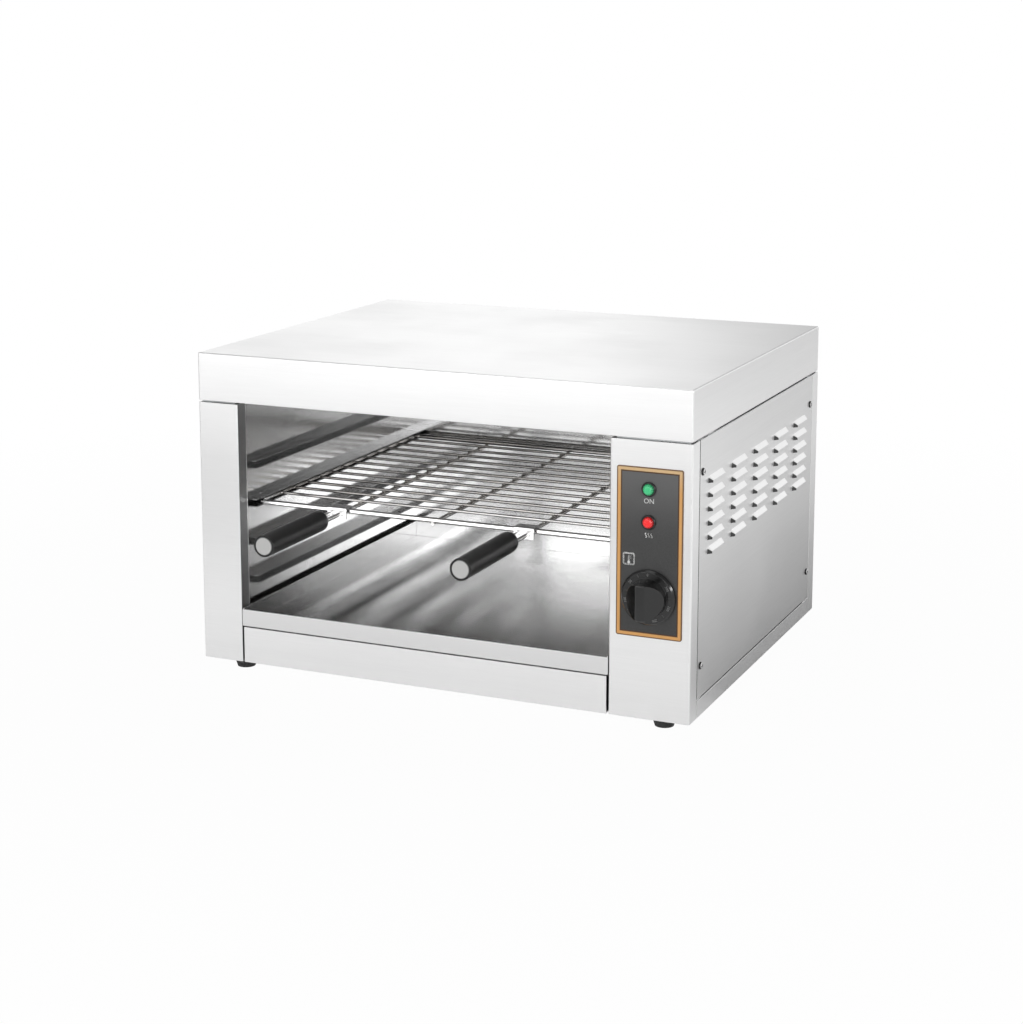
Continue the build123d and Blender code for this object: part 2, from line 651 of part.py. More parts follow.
def make_runners():
    """Channel runners on both chamber walls, open towards the middle, one pair for each rack level."""
    walls = {"left": (CHAMBER_LEFT, 1), "right": (CHAMBER_RIGHT, -1)}
    for side, (wall, inwards) in walls.items():
        edge = wall + inwards * RUNNER_FLANGE
        for level, bottom in enumerate(RUNNER_BOTTOMS, start=1):
            top = bottom + RUNNER_HEIGHT
            path = [(edge, top), (wall, top), (wall, bottom), (edge, bottom)]
            with BuildPart() as runner:
                with BuildSketch(Plane.XZ.offset(-CHAMBER_BACK)):
                    add(folded(path, inwards * RUNNER_SHEET))
                extrude(amount=CHAMBER_BACK - FRONT - RUNNER_SETBACK)
            export(runner, f"runner_{side}_{level}")


def make_crumb_tray():
    """Shallow pan with a front lip that fills the gap between the post and the control column."""
    pan_x = (OPEN_LEFT + TRAY_SIDE_GAP, OPEN_RIGHT - TRAY_SIDE_GAP)
    pan_y = (FRONT, CHAMBER_BACK - TRAY_BACK_GAP)
    inner_x = (pan_x[0] + TRAY_SHEET, pan_x[1] - TRAY_SHEET)
    inner_y = (pan_y[0] + TRAY_SHEET, pan_y[1] - TRAY_SHEET)
    lip_x = (OPEN_LEFT + TRAY_LIP_GAP, OPEN_RIGHT - TRAY_LIP_GAP)
    wall_top = TRAY_Z + TRAY_WALL_HEIGHT
    lip_top = LIP_Z + TRAY_LIP_HEIGHT
    with BuildPart() as crumb_tray:
        add(block(pan_x, pan_y, (TRAY_Z, wall_top)))
        add(block(inner_x, inner_y, (TRAY_Z + TRAY_SHEET, wall_top)), mode=Mode.SUBTRACT)
        add(block(pan_x, (pan_y[0], inner_y[0]), (lip_top, wall_top)), mode=Mode.SUBTRACT)
        add(block(lip_x, (pan_y[0], inner_y[0]), (LIP_Z, lip_top)))
    export(crumb_tray, "crumb_tray")


# ---- rack ----


def make_rack_frame():
    """Outer frame of the rack, one rod bent into a rectangle with round corners."""
    corners = [
        (RACK_LEFT, RACK_FRONT),
        (RACK_RIGHT, RACK_FRONT),
        (RACK_RIGHT, RACK_BACK),
        (RACK_LEFT, RACK_BACK),
    ]
    with BuildPart() as rack_frame:
        with BuildLine(Plane.XY.offset(RACK_Z)) as route:
            FilletPolyline(*corners, radius=FRAME_CORNER, close=True)
        with BuildSketch(Plane(origin=route.line @ 0, z_dir=route.line % 0)):
            Circle(FRAME_WIRE / 2)
        sweep(path=route.wires()[0])
    export(rack_frame, "rack_frame")


def make_cross_wires():
    """Thin wires across the rack, butted between the two sides of its frame."""
    inset = FRAME_WIRE / 2 + WELD_GAP
    with BuildPart() as rack_cross_wires:
        with BuildSketch(Plane.YZ.offset(RACK_LEFT + inset)):
            first = RACK_FRONT + FIRST_CROSS
            with Locations([(first + CROSS_PITCH * count, RACK_Z) for count in range(CROSS_COUNT)]):
                Circle(CROSS_WIRE / 2)
        extrude(amount=RACK_RIGHT - RACK_LEFT - 2 * inset)
    export(rack_cross_wires, "rack_cross_wires")


def make_support_wires():
    """Three wires under the cross wires, from the front to the back of the frame."""
    drop = CROSS_WIRE / 2 + WELD_GAP
    inset = math.sqrt(max((FRAME_WIRE / 2) ** 2 - drop**2, 0)) + WELD_GAP
    with BuildPart() as rack_support_wires:
        with BuildSketch(Plane.XZ.offset(-RACK_BACK + inset)):
            with Locations((CHAMBER_X, RACK_Z - drop - SUPPORT_WIRE / 2)):
                with GridLocations(SUPPORT_SPACING, 1, SUPPORT_COUNT, 1):
                    Circle(SUPPORT_WIRE / 2)
        extrude(amount=RACK_DEPTH - 2 * inset)
    export(rack_support_wires, "rack_support_wires")


def make_handle_bracket(side, x):
    """Folded saddle over the front rod of the rack, with a long front leg that carries the handle."""
    bracket_x = (x - BRACKET_LENGTH / 2, x + BRACKET_LENGTH / 2)
    rear = BRACKET_FRONT + BRACKET_DEPTH
    with BuildPart() as handle_bracket:
        add(block(bracket_x, (BRACKET_FRONT, rear), (BRACKET_TOP - BRACKET_SHEET, BRACKET_TOP)))
        front_leg = (BRACKET_FRONT, BRACKET_FRONT + BRACKET_SHEET)
        add(block(bracket_x, front_leg, (BRACKET_TOP - BRACKET_FRONT_DROP, BRACKET_TOP)))
        rear_leg = (rear - BRACKET_SHEET, rear)
        add(block(bracket_x, rear_leg, (BRACKET_TOP - BRACKET_REAR_DROP, BRACKET_TOP)))
        top_edges = handle_bracket.edges().filter_by(Axis.X).group_by(Axis.Z)[-1]
        fillet(top_edges, BRACKET_SHEET - WELD_GAP)
    export(handle_bracket, f"handle_bracket_{side}")


def make_handle_wires(side, x):
    """Two wires side by side between the bracket and the grip."""
    start = BRACKET_FRONT - WELD_GAP
    length = HANDLE_NECK + GRIP_BORE_DEPTH - BORE_GAP - WELD_GAP
    with BuildPart() as handle_wires:
        with BuildSketch(Plane.XZ.offset(-start)):
            with Locations((x, HANDLE_Z)):
                with GridLocations(HANDLE_WIRE_SPACING, 1, 2, 1):
                    Circle(HANDLE_WIRE / 2)
        extrude(amount=length)
    export(handle_wires, f"handle_wires_{side}")


def make_handle_grip(side, x):
    """Turned grip with a rounded shoulder, two bores for the wires and a recess for the end cap."""
    radius = GRIP_DIAMETER / 2
    with BuildPart() as handle_grip:
        with BuildSketch(Plane.XY.offset(HANDLE_Z)):
            with BuildLine():
                Line((x, GRIP_REAR), (x + radius - GRIP_SHOULDER, GRIP_REAR))
                Spline(
                    (x + radius - GRIP_SHOULDER, GRIP_REAR),
                    (x + radius, GRIP_REAR - GRIP_TAPER),
                    tangents=[(1, -GRIP_SHOULDER / GRIP_TAPER), (0, -1)],
                )
                Line((x + radius, GRIP_REAR - GRIP_TAPER), (x + radius, GRIP_FRONT + CAP_GAP))
                Line((x + radius, GRIP_FRONT + CAP_GAP), (x + radius - CAP_GAP, GRIP_FRONT))
                Line((x + radius - CAP_GAP, GRIP_FRONT), (x, GRIP_FRONT))
                Line((x, GRIP_FRONT), (x, GRIP_REAR))
            make_face()
        revolve(axis=Axis((x, 0, HANDLE_Z), (0, 1, 0)))
        with BuildSketch(Plane.XZ.offset(-GRIP_FRONT)):
            with Locations((x, HANDLE_Z)):
                Circle(CAP_DIAMETER / 2 + CAP_GAP)
        extrude(amount=-CAP_THICKNESS, mode=Mode.SUBTRACT)
        with BuildSketch(Plane.XZ.offset(-GRIP_REAR)):
            with Locations((x, HANDLE_Z)):
                with GridLocations(HANDLE_WIRE_SPACING, 1, 2, 1):
                    Circle(HANDLE_WIRE / 2 + BORE_GAP)
        extrude(amount=GRIP_BORE_DEPTH, mode=Mode.SUBTRACT)
    export(handle_grip, f"handle_grip_{side}")


def make_handle_cap(side, x):
    """Bright disc set into the front end of a grip."""
    with BuildPart() as handle_cap:
        with BuildSketch(Plane.XZ.offset(-GRIP_FRONT - CAP_THICKNESS)):
            with Locations((x, HANDLE_Z)):
                Circle(CAP_DIAMETER / 2)
        extrude(amount=CAP_THICKNESS)
        chamfer(handle_cap.edges().group_by(Axis.Y)[0], CAP_EDGE)
    export(handle_cap, f"handle_cap_{side}")


# ---- heating ----


def make_element_reflector():
    """Trapezoid pan turned upside down over the chamber mouth, with flanges that sit on the deck."""
    roof = HOOD_Z + REFLECTOR_HEIGHT
    outline = [
        (REFLECTOR_FRONT, HOOD_Z),
        (REFLECTOR_FRONT + REFLECTOR_SLOPE, roof),
        (CHAMBER_BACK - REFLECTOR_SLOPE, roof),
        (CHAMBER_BACK, HOOD_Z),
    ]
    flange_z = (HOOD_Z, HOOD_Z + REFLECTOR_SHEET)
    flange_end = CHAMBER_BACK + REFLECTOR_BACK_FLANGE
    side_flange_y = (REFLECTOR_FRONT + REFLECTOR_SLOPE, flange_end)
    with BuildPart() as element_reflector:
        with BuildSketch(Plane.YZ.offset(CHAMBER_LEFT)):
            with BuildLine():
                Polyline(*outline, close=True)
            make_face()
        extrude(amount=CHAMBER_RIGHT - CHAMBER_LEFT)
        mouth = element_reflector.faces().sort_by(Axis.Z)[0]
        offset(amount=-REFLECTOR_SHEET, openings=mouth)
        add(block((CHAMBER_LEFT - REFLECTOR_FLANGE, CHAMBER_LEFT), side_flange_y, flange_z))
        add(block((CHAMBER_RIGHT, CHAMBER_RIGHT + REFLECTOR_FLANGE), side_flange_y, flange_z))
        add(block((CHAMBER_LEFT, CHAMBER_RIGHT), (CHAMBER_BACK - REFLECTOR_SHEET, flange_end), flange_z))
        with BuildSketch(Plane.YZ.offset(CHAMBER_RIGHT)):
            with Locations([(y, ELEMENT_Z) for y in LEG_YS]):
                Circle(ELEMENT_DIAMETER / 2 + HOLE_GAP)
        extrude(amount=-REFLECTOR_SHEET, mode=Mode.SUBTRACT)
    export(element_reflector, "element_reflector")


def make_heating_elements():
    """Sheathed hairpin elements across the hood, with their ends in the wiring space."""
    names = ["front", "middle", "rear"]
    end_x = CHAMBER_RIGHT + ELEMENT_TAIL
    bend_x = CHAMBER_LEFT + BEND_INSET
    for index in range(ELEMENT_COUNT):
        near, far = LEG_YS[2 * index], LEG_YS[2 * index + 1]
        with BuildPart() as heating_element:
            with BuildLine(Plane.XY.offset(ELEMENT_Z)) as route:
                Line((end_x, near), (bend_x, near))
                CenterArc((bend_x, (near + far) / 2), LEG_PITCH / 2, 270, -180)
                Line((bend_x, far), (end_x, far))
            with BuildSketch(Plane(origin=(end_x, near, ELEMENT_Z), z_dir=(-1, 0, 0))):
                Circle(ELEMENT_DIAMETER / 2)
            sweep(path=route.wires()[0])
        export(heating_element, f"heating_element_{names[index]}")


def make_element_nuts():
    """Hexagon nuts around the element ends, outside the reflector."""
    with BuildPart() as element_nuts:
        with BuildSketch(Plane.YZ.offset(CHAMBER_RIGHT)):
            with Locations([(y, ELEMENT_Z) for y in LEG_YS]):
                RegularPolygon(ELEMENT_NUT / 2, 6, major_radius=False)
                Circle(ELEMENT_DIAMETER / 2 + BORE_GAP, mode=Mode.SUBTRACT)
        extrude(amount=ELEMENT_NUT_HEIGHT)
    export(element_nuts, "element_nuts")


def make_element_hangers():
    """Drilled strips under the reflector roof that hold the elements level."""
    hanger_y = (LEG_YS[0] - HANGER_OVERHANG, LEG_YS[-1] + HANGER_OVERHANG)
    hanger_z = (ELEMENT_Z - HANGER_DROP, HOOD_Z + REFLECTOR_HEIGHT - REFLECTOR_SHEET)
    for side, inset in HANGER_INSETS.items():
        x = CHAMBER_LEFT + inset
        with BuildPart() as element_hanger:
            add(block((x, x + HANGER_SHEET), hanger_y, hanger_z))
            with BuildSketch(Plane.YZ.offset(x)):
                with Locations([(y, ELEMENT_Z) for y in LEG_YS]):
                    Circle(ELEMENT_DIAMETER / 2 + HOLE_GAP)
            extrude(amount=HANGER_SHEET, mode=Mode.SUBTRACT)
        export(element_hanger, f"element_hanger_{side}")


# ---- controls ----


def make_control_panel():
    """Thin overlay on the control column, with holes for both lamps and the spindle."""
    with BuildPart() as control_panel:
        with BuildSketch(Plane.XZ.offset(-FRONT)):
            with Locations((PANEL_X, PANEL_Z)):
                RectangleRounded(PANEL_WIDTH, PANEL_HEIGHT, PANEL_CORNER)
            with Locations((LAMP_X, GREEN_LAMP_Z), (LAMP_X, RED_LAMP_Z)):
                Circle(LAMP_BODY / 2 + SCREW_GAP, mode=Mode.SUBTRACT)
            with Locations((KNOB_X, KNOB_Z)):
                Circle(SPINDLE_HOLE / 2, mode=Mode.SUBTRACT)
        extrude(amount=PANEL_THICKNESS)
    export(control_panel, "control_panel")


def make_lamps():
    """Pilot lamps: a domed lens and a ring on the panel, and a body through it for each colour."""
    lamp_places = {"green": GREEN_LAMP_Z, "red": RED_LAMP_Z}
    for colour, z in lamp_places.items():
        with BuildPart() as lamp_lens:
            with BuildSketch(Plane.XZ.offset(-PANEL_FACE)):
                with Locations((LAMP_X, z)):
                    Circle(LENS_DIAMETER / 2)
            extrude(amount=LENS_HEIGHT)
            fillet(lamp_lens.edges().group_by(Axis.Y)[0], LENS_DOME)
        export(lamp_lens, f"lamp_lens_{colour}")
    places = [(LAMP_X, z) for z in lamp_places.values()]
    with BuildPart() as lamp_bezels:
        with BuildSketch(Plane.XZ.offset(-PANEL_FACE)):
            with Locations(places):
                Circle(BEZEL_DIAMETER / 2)
                Circle(LENS_DIAMETER / 2 + BORE_GAP, mode=Mode.SUBTRACT)
        extrude(amount=BEZEL_HEIGHT)
        front_edges = lamp_bezels.faces().sort_by(Axis.Y)[0 : len(places)].edges()
        chamfer(front_edges.group_by(SortBy.RADIUS)[-1], BEZEL_EDGE)
    export(lamp_bezels, "lamp_bezels")
    with BuildPart() as lamp_bodies:
        with BuildSketch(Plane.XZ.offset(-PANEL_FACE)):
            with Locations(places):
                Circle(LAMP_BODY / 2)
        extrude(amount=-LAMP_BODY_LENGTH)
    export(lamp_bodies, "lamp_bodies")


def make_thermostat_knob():
    """Moulded knob: flat skirt and a round hub, sloped off on both sides to a fin to turn it by."""
    shoulder = KNOB_BACK - KNOB_SKIRT - HUB_RISE
    tip = shoulder - FIN_RISE
    lean = (HUB_DIAMETER - FIN_WIDTH) / 2 / FIN_RISE
    with BuildPart() as thermostat_knob:
        with BuildSketch(Plane.XZ.offset(-KNOB_BACK)):
            with Locations((KNOB_X, KNOB_Z)):
                Circle(KNOB_DIAMETER / 2)
        extrude(amount=KNOB_SKIRT)
        chamfer(thermostat_knob.edges().group_by(Axis.Y)[0], KNOB_EDGE)
        with BuildSketch(Plane.XZ.offset(KNOB_SKIRT - KNOB_BACK)):
            with Locations((KNOB_X, KNOB_Z)):
                Circle(HUB_DIAMETER / 2)
        extrude(amount=HUB_RISE + FIN_RISE, taper=HUB_TAPER)
        for side in (-1, 1):
            with BuildSketch(Plane.XY.offset(KNOB_Z - HUB_DIAMETER / 2)):
                with BuildLine():
                    Polyline(
                        (KNOB_X + side * (FIN_WIDTH / 2 - lean * FIN_OVERCUT), tip - FIN_OVERCUT),
                        (KNOB_X + side * HUB_DIAMETER, tip - FIN_OVERCUT),
                        (KNOB_X + side * HUB_DIAMETER, shoulder),
                        (KNOB_X + side * HUB_DIAMETER / 2, shoulder),
                        close=True,
                    )
                make_face()
            extrude(amount=HUB_DIAMETER, mode=Mode.SUBTRACT)
        fillet(thermostat_knob.faces().sort_by(Axis.Y)[0].edges(), KNOB_EDGE)
        with BuildSketch(Plane.XZ.offset(-KNOB_BACK)):
            with Locations((KNOB_X, KNOB_Z)):
                Circle(SPINDLE_DIAMETER / 2 + SPINDLE_GAP)
        extrude(amount=KNOB_BORE_DEPTH, mode=Mode.SUBTRACT)
    export(thermostat_knob, "thermostat_knob")


def make_thermostat():
    """Thermostat behind the panel and the spindle that runs through the panel into the knob."""
    seat = FRONT + SHEET
    with BuildPart() as thermostat_body:
        with BuildSketch(Plane.XZ.offset(-seat)):
            with Locations((KNOB_X, KNOB_Z)):
                RectangleRounded(THERMOSTAT_WIDTH, THERMOSTAT_HEIGHT, PANEL_CORNER)
        extrude(amount=-THERMOSTAT_DEPTH)
        with BuildSketch(Plane.XZ.offset(-seat)):
            with Locations((KNOB_X, KNOB_Z)):
                Circle(SPINDLE_DIAMETER / 2 + SPINDLE_GAP)
        extrude(amount=-SPINDLE_SEAT, mode=Mode.SUBTRACT)
    export(thermostat_body, "thermostat_body")
    tip = KNOB_BACK - KNOB_BORE_DEPTH + SEAT_GAP
    with BuildPart() as thermostat_spindle:
        with BuildSketch(Plane.XZ.offset(-tip)):
            with Locations((KNOB_X, KNOB_Z)):
                Circle(SPINDLE_DIAMETER / 2)
        extrude(amount=tip - seat - SPINDLE_SEAT + SEAT_GAP)
    export(thermostat_spindle, "thermostat_spindle")


def make_sensor():
    """Thermostat bulb along the right liner, with its capillary bent down to the thermostat."""
    rear = FRONT + SHEET + THERMOSTAT_DEPTH
    down_y = FRONT + CAPILLARY_SETBACK
    route_points = [
        (BULB_X, BULB_FRONT, BULB_Z),
        (BULB_X, down_y, BULB_Z),
        (BULB_X, down_y, KNOB_Z),
        (KNOB_X, down_y, KNOB_Z),
        (KNOB_X, rear, KNOB_Z),
    ]
    with BuildPart() as sensor_bulb:
        with BuildSketch(Plane.XZ.offset(-BULB_FRONT)):
            with Locations((BULB_X, BULB_Z)):
                Circle(BULB_DIAMETER / 2)
        extrude(amount=-BULB_LENGTH)
        with BuildLine() as route:
            FilletPolyline(*route_points, radius=CAPILLARY_BEND)
        with BuildSketch(Plane(origin=route.line @ 0, z_dir=route.line % 0)):
            Circle(CAPILLARY_DIAMETER / 2)
        sweep(path=route.wires()[0])
    export(sensor_bulb, "sensor_bulb")
    ring = BULB_DIAMETER / 2 + BORE_GAP
    wall = CHAMBER_RIGHT + LINER_SHEET
    with BuildPart() as sensor_clips:
        for along in (BULB_LENGTH / 4, BULB_LENGTH * 3 / 4):
            with BuildSketch(Plane.XZ.offset(-BULB_FRONT - along)):
                with Locations((wall + CLIP_SHEET / 2, BULB_Z - CLIP_FOOT / 2)):
                    Rectangle(CLIP_SHEET, CLIP_FOOT)
                with Locations((BULB_X, BULB_Z)):
                    Circle(ring + CLIP_SHEET)
                    Circle(ring, mode=Mode.SUBTRACT)
            extrude(amount=CLIP_WIDTH / 2, both=True)
    export(sensor_clips, "sensor_clips")


def make_terminal_block():
    """Three-pole terminal block on the base pan behind the thermostat."""
    middle = (CHAMBER_RIGHT + RIGHT) / 2
    pole_pitch = TERMINAL_LENGTH / TERMINAL_POLES
    with BuildPart() as terminal_block:
        with BuildSketch(Plane.XY.offset(BASE_Z + SHEET)):
            with Locations((middle, BACK - TERMINAL_SETBACK)):
                Rectangle(TERMINAL_LENGTH, TERMINAL_WIDTH)
        extrude(amount=TERMINAL_HEIGHT)
        with BuildSketch(Plane.XY.offset(BASE_Z + SHEET + TERMINAL_HEIGHT)):
            with Locations((middle, BACK - TERMINAL_SETBACK)):
                with GridLocations(pole_pitch, TERMINAL_ROW_SPACING, TERMINAL_POLES, 2):
                    Circle(TERMINAL_HOLE / 2)
        extrude(amount=-TERMINAL_HOLE_DEPTH, mode=Mode.SUBTRACT)
    export(terminal_block, "terminal_block")


def make_cable_gland():
    """Gland through the back panel, with its hexagon nut inside."""
    with BuildPart() as cable_gland:
        with BuildSketch(Plane.XZ.offset(-BACK)):
            with Locations((GLAND_X, GLAND_Z)):
                Circle(GLAND_COLLAR / 2)
        extrude(amount=-GLAND_REACH)
        chamfer(cable_gland.edges().group_by(Axis.Y)[-1], GLAND_EDGE)
        with BuildSketch(Plane.XZ.offset(-BACK)):
            with Locations((GLAND_X, GLAND_Z)):
                Circle(GLAND_THREAD / 2)
        extrude(amount=SHEET + GLAND_TAIL)
        with BuildSketch(Plane.XZ.offset(-BACK - GLAND_REACH)):
            with Locations((GLAND_X, GLAND_Z)):
                Circle(GLAND_BORE / 2)
        extrude(amount=GLAND_REACH + SHEET + GLAND_TAIL, mode=Mode.SUBTRACT)
    export(cable_gland, "cable_gland")
    with BuildPart() as gland_nut:
        with BuildSketch(Plane.XZ.offset(SHEET - BACK)):
            with Locations((GLAND_X, GLAND_Z)):
                RegularPolygon(GLAND_NUT / 2, 6, major_radius=False)
                Circle(GLAND_THREAD / 2 + BORE_GAP, mode=Mode.SUBTRACT)
        extrude(amount=GLAND_NUT_HEIGHT)
    export(gland_nut, "gland_nut")


os.makedirs("parts", exist_ok=True)
make_hood_cover()
make_top_deck()
make_left_casing()
make_control_column()
make_right_rear_post()
make_louvred_cover()
make_back_panel()
make_base_pan()
make_chamber_floor()
make_lower_front_panel()
make_feet()
make_foot_screws()
make_panel_screws()
make_side_liners()
make_back_liner()
make_runners()
make_crumb_tray()
make_rack_frame()
make_cross_wires()
make_support_wires()
for handle_side, handle_x in HANDLE_XS.items():
    make_handle_bracket(handle_side, handle_x)
    make_handle_wires(handle_side, handle_x)
    make_handle_grip(handle_side, handle_x)
    make_handle_cap(handle_side, handle_x)
make_element_reflector()
make_heating_elements()
make_element_nuts()
make_element_hangers()
make_control_panel()
make_lamps()
make_thermostat_knob()
make_thermostat()
make_sensor()
make_terminal_block()
make_cable_gland()
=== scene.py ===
"""Studio picture of a countertop cheese melter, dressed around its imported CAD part."""
import logging
import math
from collections.abc import Sequence
from dataclasses import dataclass
from enum import Enum
from typing import ClassVar

import bmesh
import bpy
from mathutils import Matrix, Vector


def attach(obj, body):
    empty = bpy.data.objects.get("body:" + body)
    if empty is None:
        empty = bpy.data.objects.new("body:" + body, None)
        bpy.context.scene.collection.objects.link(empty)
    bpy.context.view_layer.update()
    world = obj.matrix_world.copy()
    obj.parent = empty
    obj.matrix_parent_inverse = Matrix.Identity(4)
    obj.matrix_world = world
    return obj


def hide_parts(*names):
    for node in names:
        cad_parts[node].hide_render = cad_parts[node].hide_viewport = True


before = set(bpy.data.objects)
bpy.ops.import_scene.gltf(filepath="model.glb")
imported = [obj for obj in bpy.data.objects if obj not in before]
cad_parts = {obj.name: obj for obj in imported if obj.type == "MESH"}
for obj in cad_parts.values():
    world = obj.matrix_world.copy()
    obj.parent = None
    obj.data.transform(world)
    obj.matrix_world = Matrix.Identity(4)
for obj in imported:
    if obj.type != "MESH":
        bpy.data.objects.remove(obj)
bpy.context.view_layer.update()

LOG = logging.getLogger("cheese_melter")
MM = 0.001

Colour = tuple[float, float, float]
Place = tuple[float, float, float]
Pair = tuple[float, float]
Socket = bpy.types.NodeSocket
Outputs = bpy.types.NodeOutputs
WHITE: Colour = (1.0, 1.0, 1.0)


class Body(Enum):
    """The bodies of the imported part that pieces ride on."""

    CABINET = "cabinet"
    RACK = "rack"
    KNOB = "knob"


class Side(Enum):
    """Which way a fastener's head looks."""

    RIGHT = "right"
    BACK = "back"


class Mark(Enum):
    """The generic marks printed on the control panel."""

    WORD_ON = "on"
    HEAT = "heat"
    THERMOMETER = "thermometer"


# ---------------------------------------------------------------- node graphs


class Graph:
    """Adds the nodes of one node tree and links them."""

    def __init__(self, tree: bpy.types.NodeTree) -> None:
        """Keeps the tree.

        Args:
            tree: the node tree that the nodes go into.
        """
        self.tree = tree

    def feed(self, socket: Socket, value: object) -> None:
        """Links a socket to another one, or sets its value.

        Args:
            socket: the input that gets the value.
            value: an output socket, or a constant.
        """
        if isinstance(value, bpy.types.NodeSocket):
            self.tree.links.new(value, socket)
        else:
            socket.default_value = value

    def node(self, kind: str, inputs: dict | None = None, **settings: object) -> bpy.types.Node:
        """Adds one node.

        Args:
            kind: the node's type name.
            inputs: values or sockets for its inputs, by name or place.
            settings: properties of the node.

        Returns:
            The new node.
        """
        made = self.tree.nodes.new(kind)
        for name, value in settings.items():
            setattr(made, name, value)
        for key, value in (inputs or {}).items():
            self.feed(made.inputs[key], value)
        return made

    def group(self, tree: bpy.types.NodeTree, **inputs: object) -> bpy.types.Node:
        """Places a shared effect.

        Args:
            tree: the shared node group.
            inputs: values or sockets by input name, with _ for a space.

        Returns:
            The group node.
        """
        named = {name.replace("_", " "): value for name, value in inputs.items()}
        return self.node("ShaderNodeGroup", named, node_tree=tree)

    def math(self, operation: str, *values: object) -> Socket:
        """Adds a Math node.

        Args:
            operation: the node's operation.
            values: its inputs in order.

        Returns:
            The result's socket.
        """
        inputs = dict(enumerate(values))
        return self.node("ShaderNodeMath", inputs, operation=operation).outputs[0]

    def vector(self, operation: str, *values: object, output: str = "Vector") -> Socket:
        """Adds a Vector Math node.

        Args:
            operation: the node's operation.
            values: its inputs in order.
            output: the name of the output that is used.

        Returns:
            The result's socket.
        """
        made = self.node("ShaderNodeVectorMath", dict(enumerate(values)), operation=operation)
        return made.outputs[output]

    def blend(self, factor: object, first: object, second: object, mode: str = "MIX") -> Socket:
        """Mixes two colours.

        Args:
            factor: 0 for the first, 1 for the second.
            first: the first colour.
            second: the second colour.
            mode: the blend mode.

        Returns:
            The mixed colour's socket.
        """
        inputs = {0: factor, 6: opaque(first), 7: opaque(second)}
        return self.node("ShaderNodeMix", inputs, data_type="RGBA", blend_type=mode).outputs[2]

    def remap(self, value: object, low: float, high: float, start: float = 0.0,
              end: float = 1.0) -> Socket:
        """Stretches a range of values onto another, clamped.

        Args:
            value: what is remapped.
            low: the lowest value that is told apart.
            high: the highest one.
            start: what the lowest becomes.
            end: what the highest becomes.

        Returns:
            The result's socket.
        """
        inputs = {"Value": value, "From Min": low, "From Max": high, "To Min": start, "To Max": end}
        return self.node("ShaderNodeMapRange", inputs, clamp=True).outputs[0]

    def noise(self, vector: object, scale: object, detail: float = 2.0,
              roughness: float = 0.5) -> Socket:
        """Adds a noise pattern.

        Args:
            vector: the coordinates that it reads.
            scale: its scale.
            detail: how many octaves it has.
            roughness: how strong the fine ones are.

        Returns:
            The pattern's value socket.
        """
        inputs = {"Vector": vector, "Scale": scale, "Detail": detail, "Roughness": roughness}
        return self.node("ShaderNodeTexNoise", inputs).outputs[0]

    def ramp(self, value: object, stops: list[tuple[float, Colour]],
             smooth: bool = False) -> Socket:
        """Turns a value into a colour.

        Args:
            value: the value, from 0 to 1.
            stops: places and their colours.
            smooth: whether the colours ease into each other.

        Returns:
            The colour's socket.
        """
        made = self.node("ShaderNodeValToRGB", {0: value})
        ramp = made.color_ramp
        ramp.interpolation = "EASE" if smooth else "LINEAR"
        while len(ramp.elements) < len(stops):
            ramp.elements.new(1.0)
        for element, (place, colour) in zip(ramp.elements, stops):
            element.position = place
            element.color = opaque(colour)
        return made.outputs[0]

    def between(self, share: Socket, first: Socket, second: Socket) -> Socket:
        """Mixes two values, with a share of 0 for the first and 1 for the second."""
        return self.node("ShaderNodeMix", {0: share, 2: first, 3: second}).outputs[0]

    def split(self, vector: object) -> list[Socket]:
        """Gives the three parts of a vector."""
        return list(self.node("ShaderNodeSeparateXYZ", {0: vector}).outputs)

    def join(self, x: object, y: object, z: object) -> Socket:
        """Gives a vector from its three parts."""
        return self.node("ShaderNodeCombineXYZ", {0: x, 1: y, 2: z}).outputs[0]

    def rays(self) -> tuple[Socket, Socket]:
        """Tells which rays meet the surface.

        Returns:
            Whether it is a camera's ray, and whether steel mirrors it or glass lets it through.
        """
        path = self.node("ShaderNodeLightPath").outputs
        mirrored = self.math("MAXIMUM", path["Is Glossy Ray"], path["Is Transmission Ray"])
        return path["Is Camera Ray"], mirrored

    def tones(self, value: object, stops: tuple[Pair, ...]) -> Socket:
        """Reads a tone off a list of places and their tones.

        Args:
            value: the place.
            stops: the places in rising order, each with its tone.

        Returns:
            The tone's socket.
        """
        low, high = stops[0][0], stops[-1][0]
        spread = [((place - low) / (high - low), grey(tone)) for place, tone in stops]
        return self.ramp(self.remap(value, low, high), spread)


def opaque(colour: object) -> object:
    """Gives a constant colour its alpha, and leaves a socket as it is."""
    if isinstance(colour, tuple) and len(colour) == 3:
        return (*colour, 1.0)
    return colour


def grey(level: float) -> Colour:
    """Gives a plain grey."""
    return (level,) * 3


def scaled(colour: Colour, factor: float, lift: float = 0.0, top: float = 1.0) -> Colour:
    """Makes a colour lighter or darker.

    Args:
        colour: the colour.
        factor: what its parts are multiplied by.
        lift: what is then added to them.
        top: the most that a part can be.

    Returns:
        The new colour.
    """
    return tuple(min(top, part * factor + lift) for part in colour)


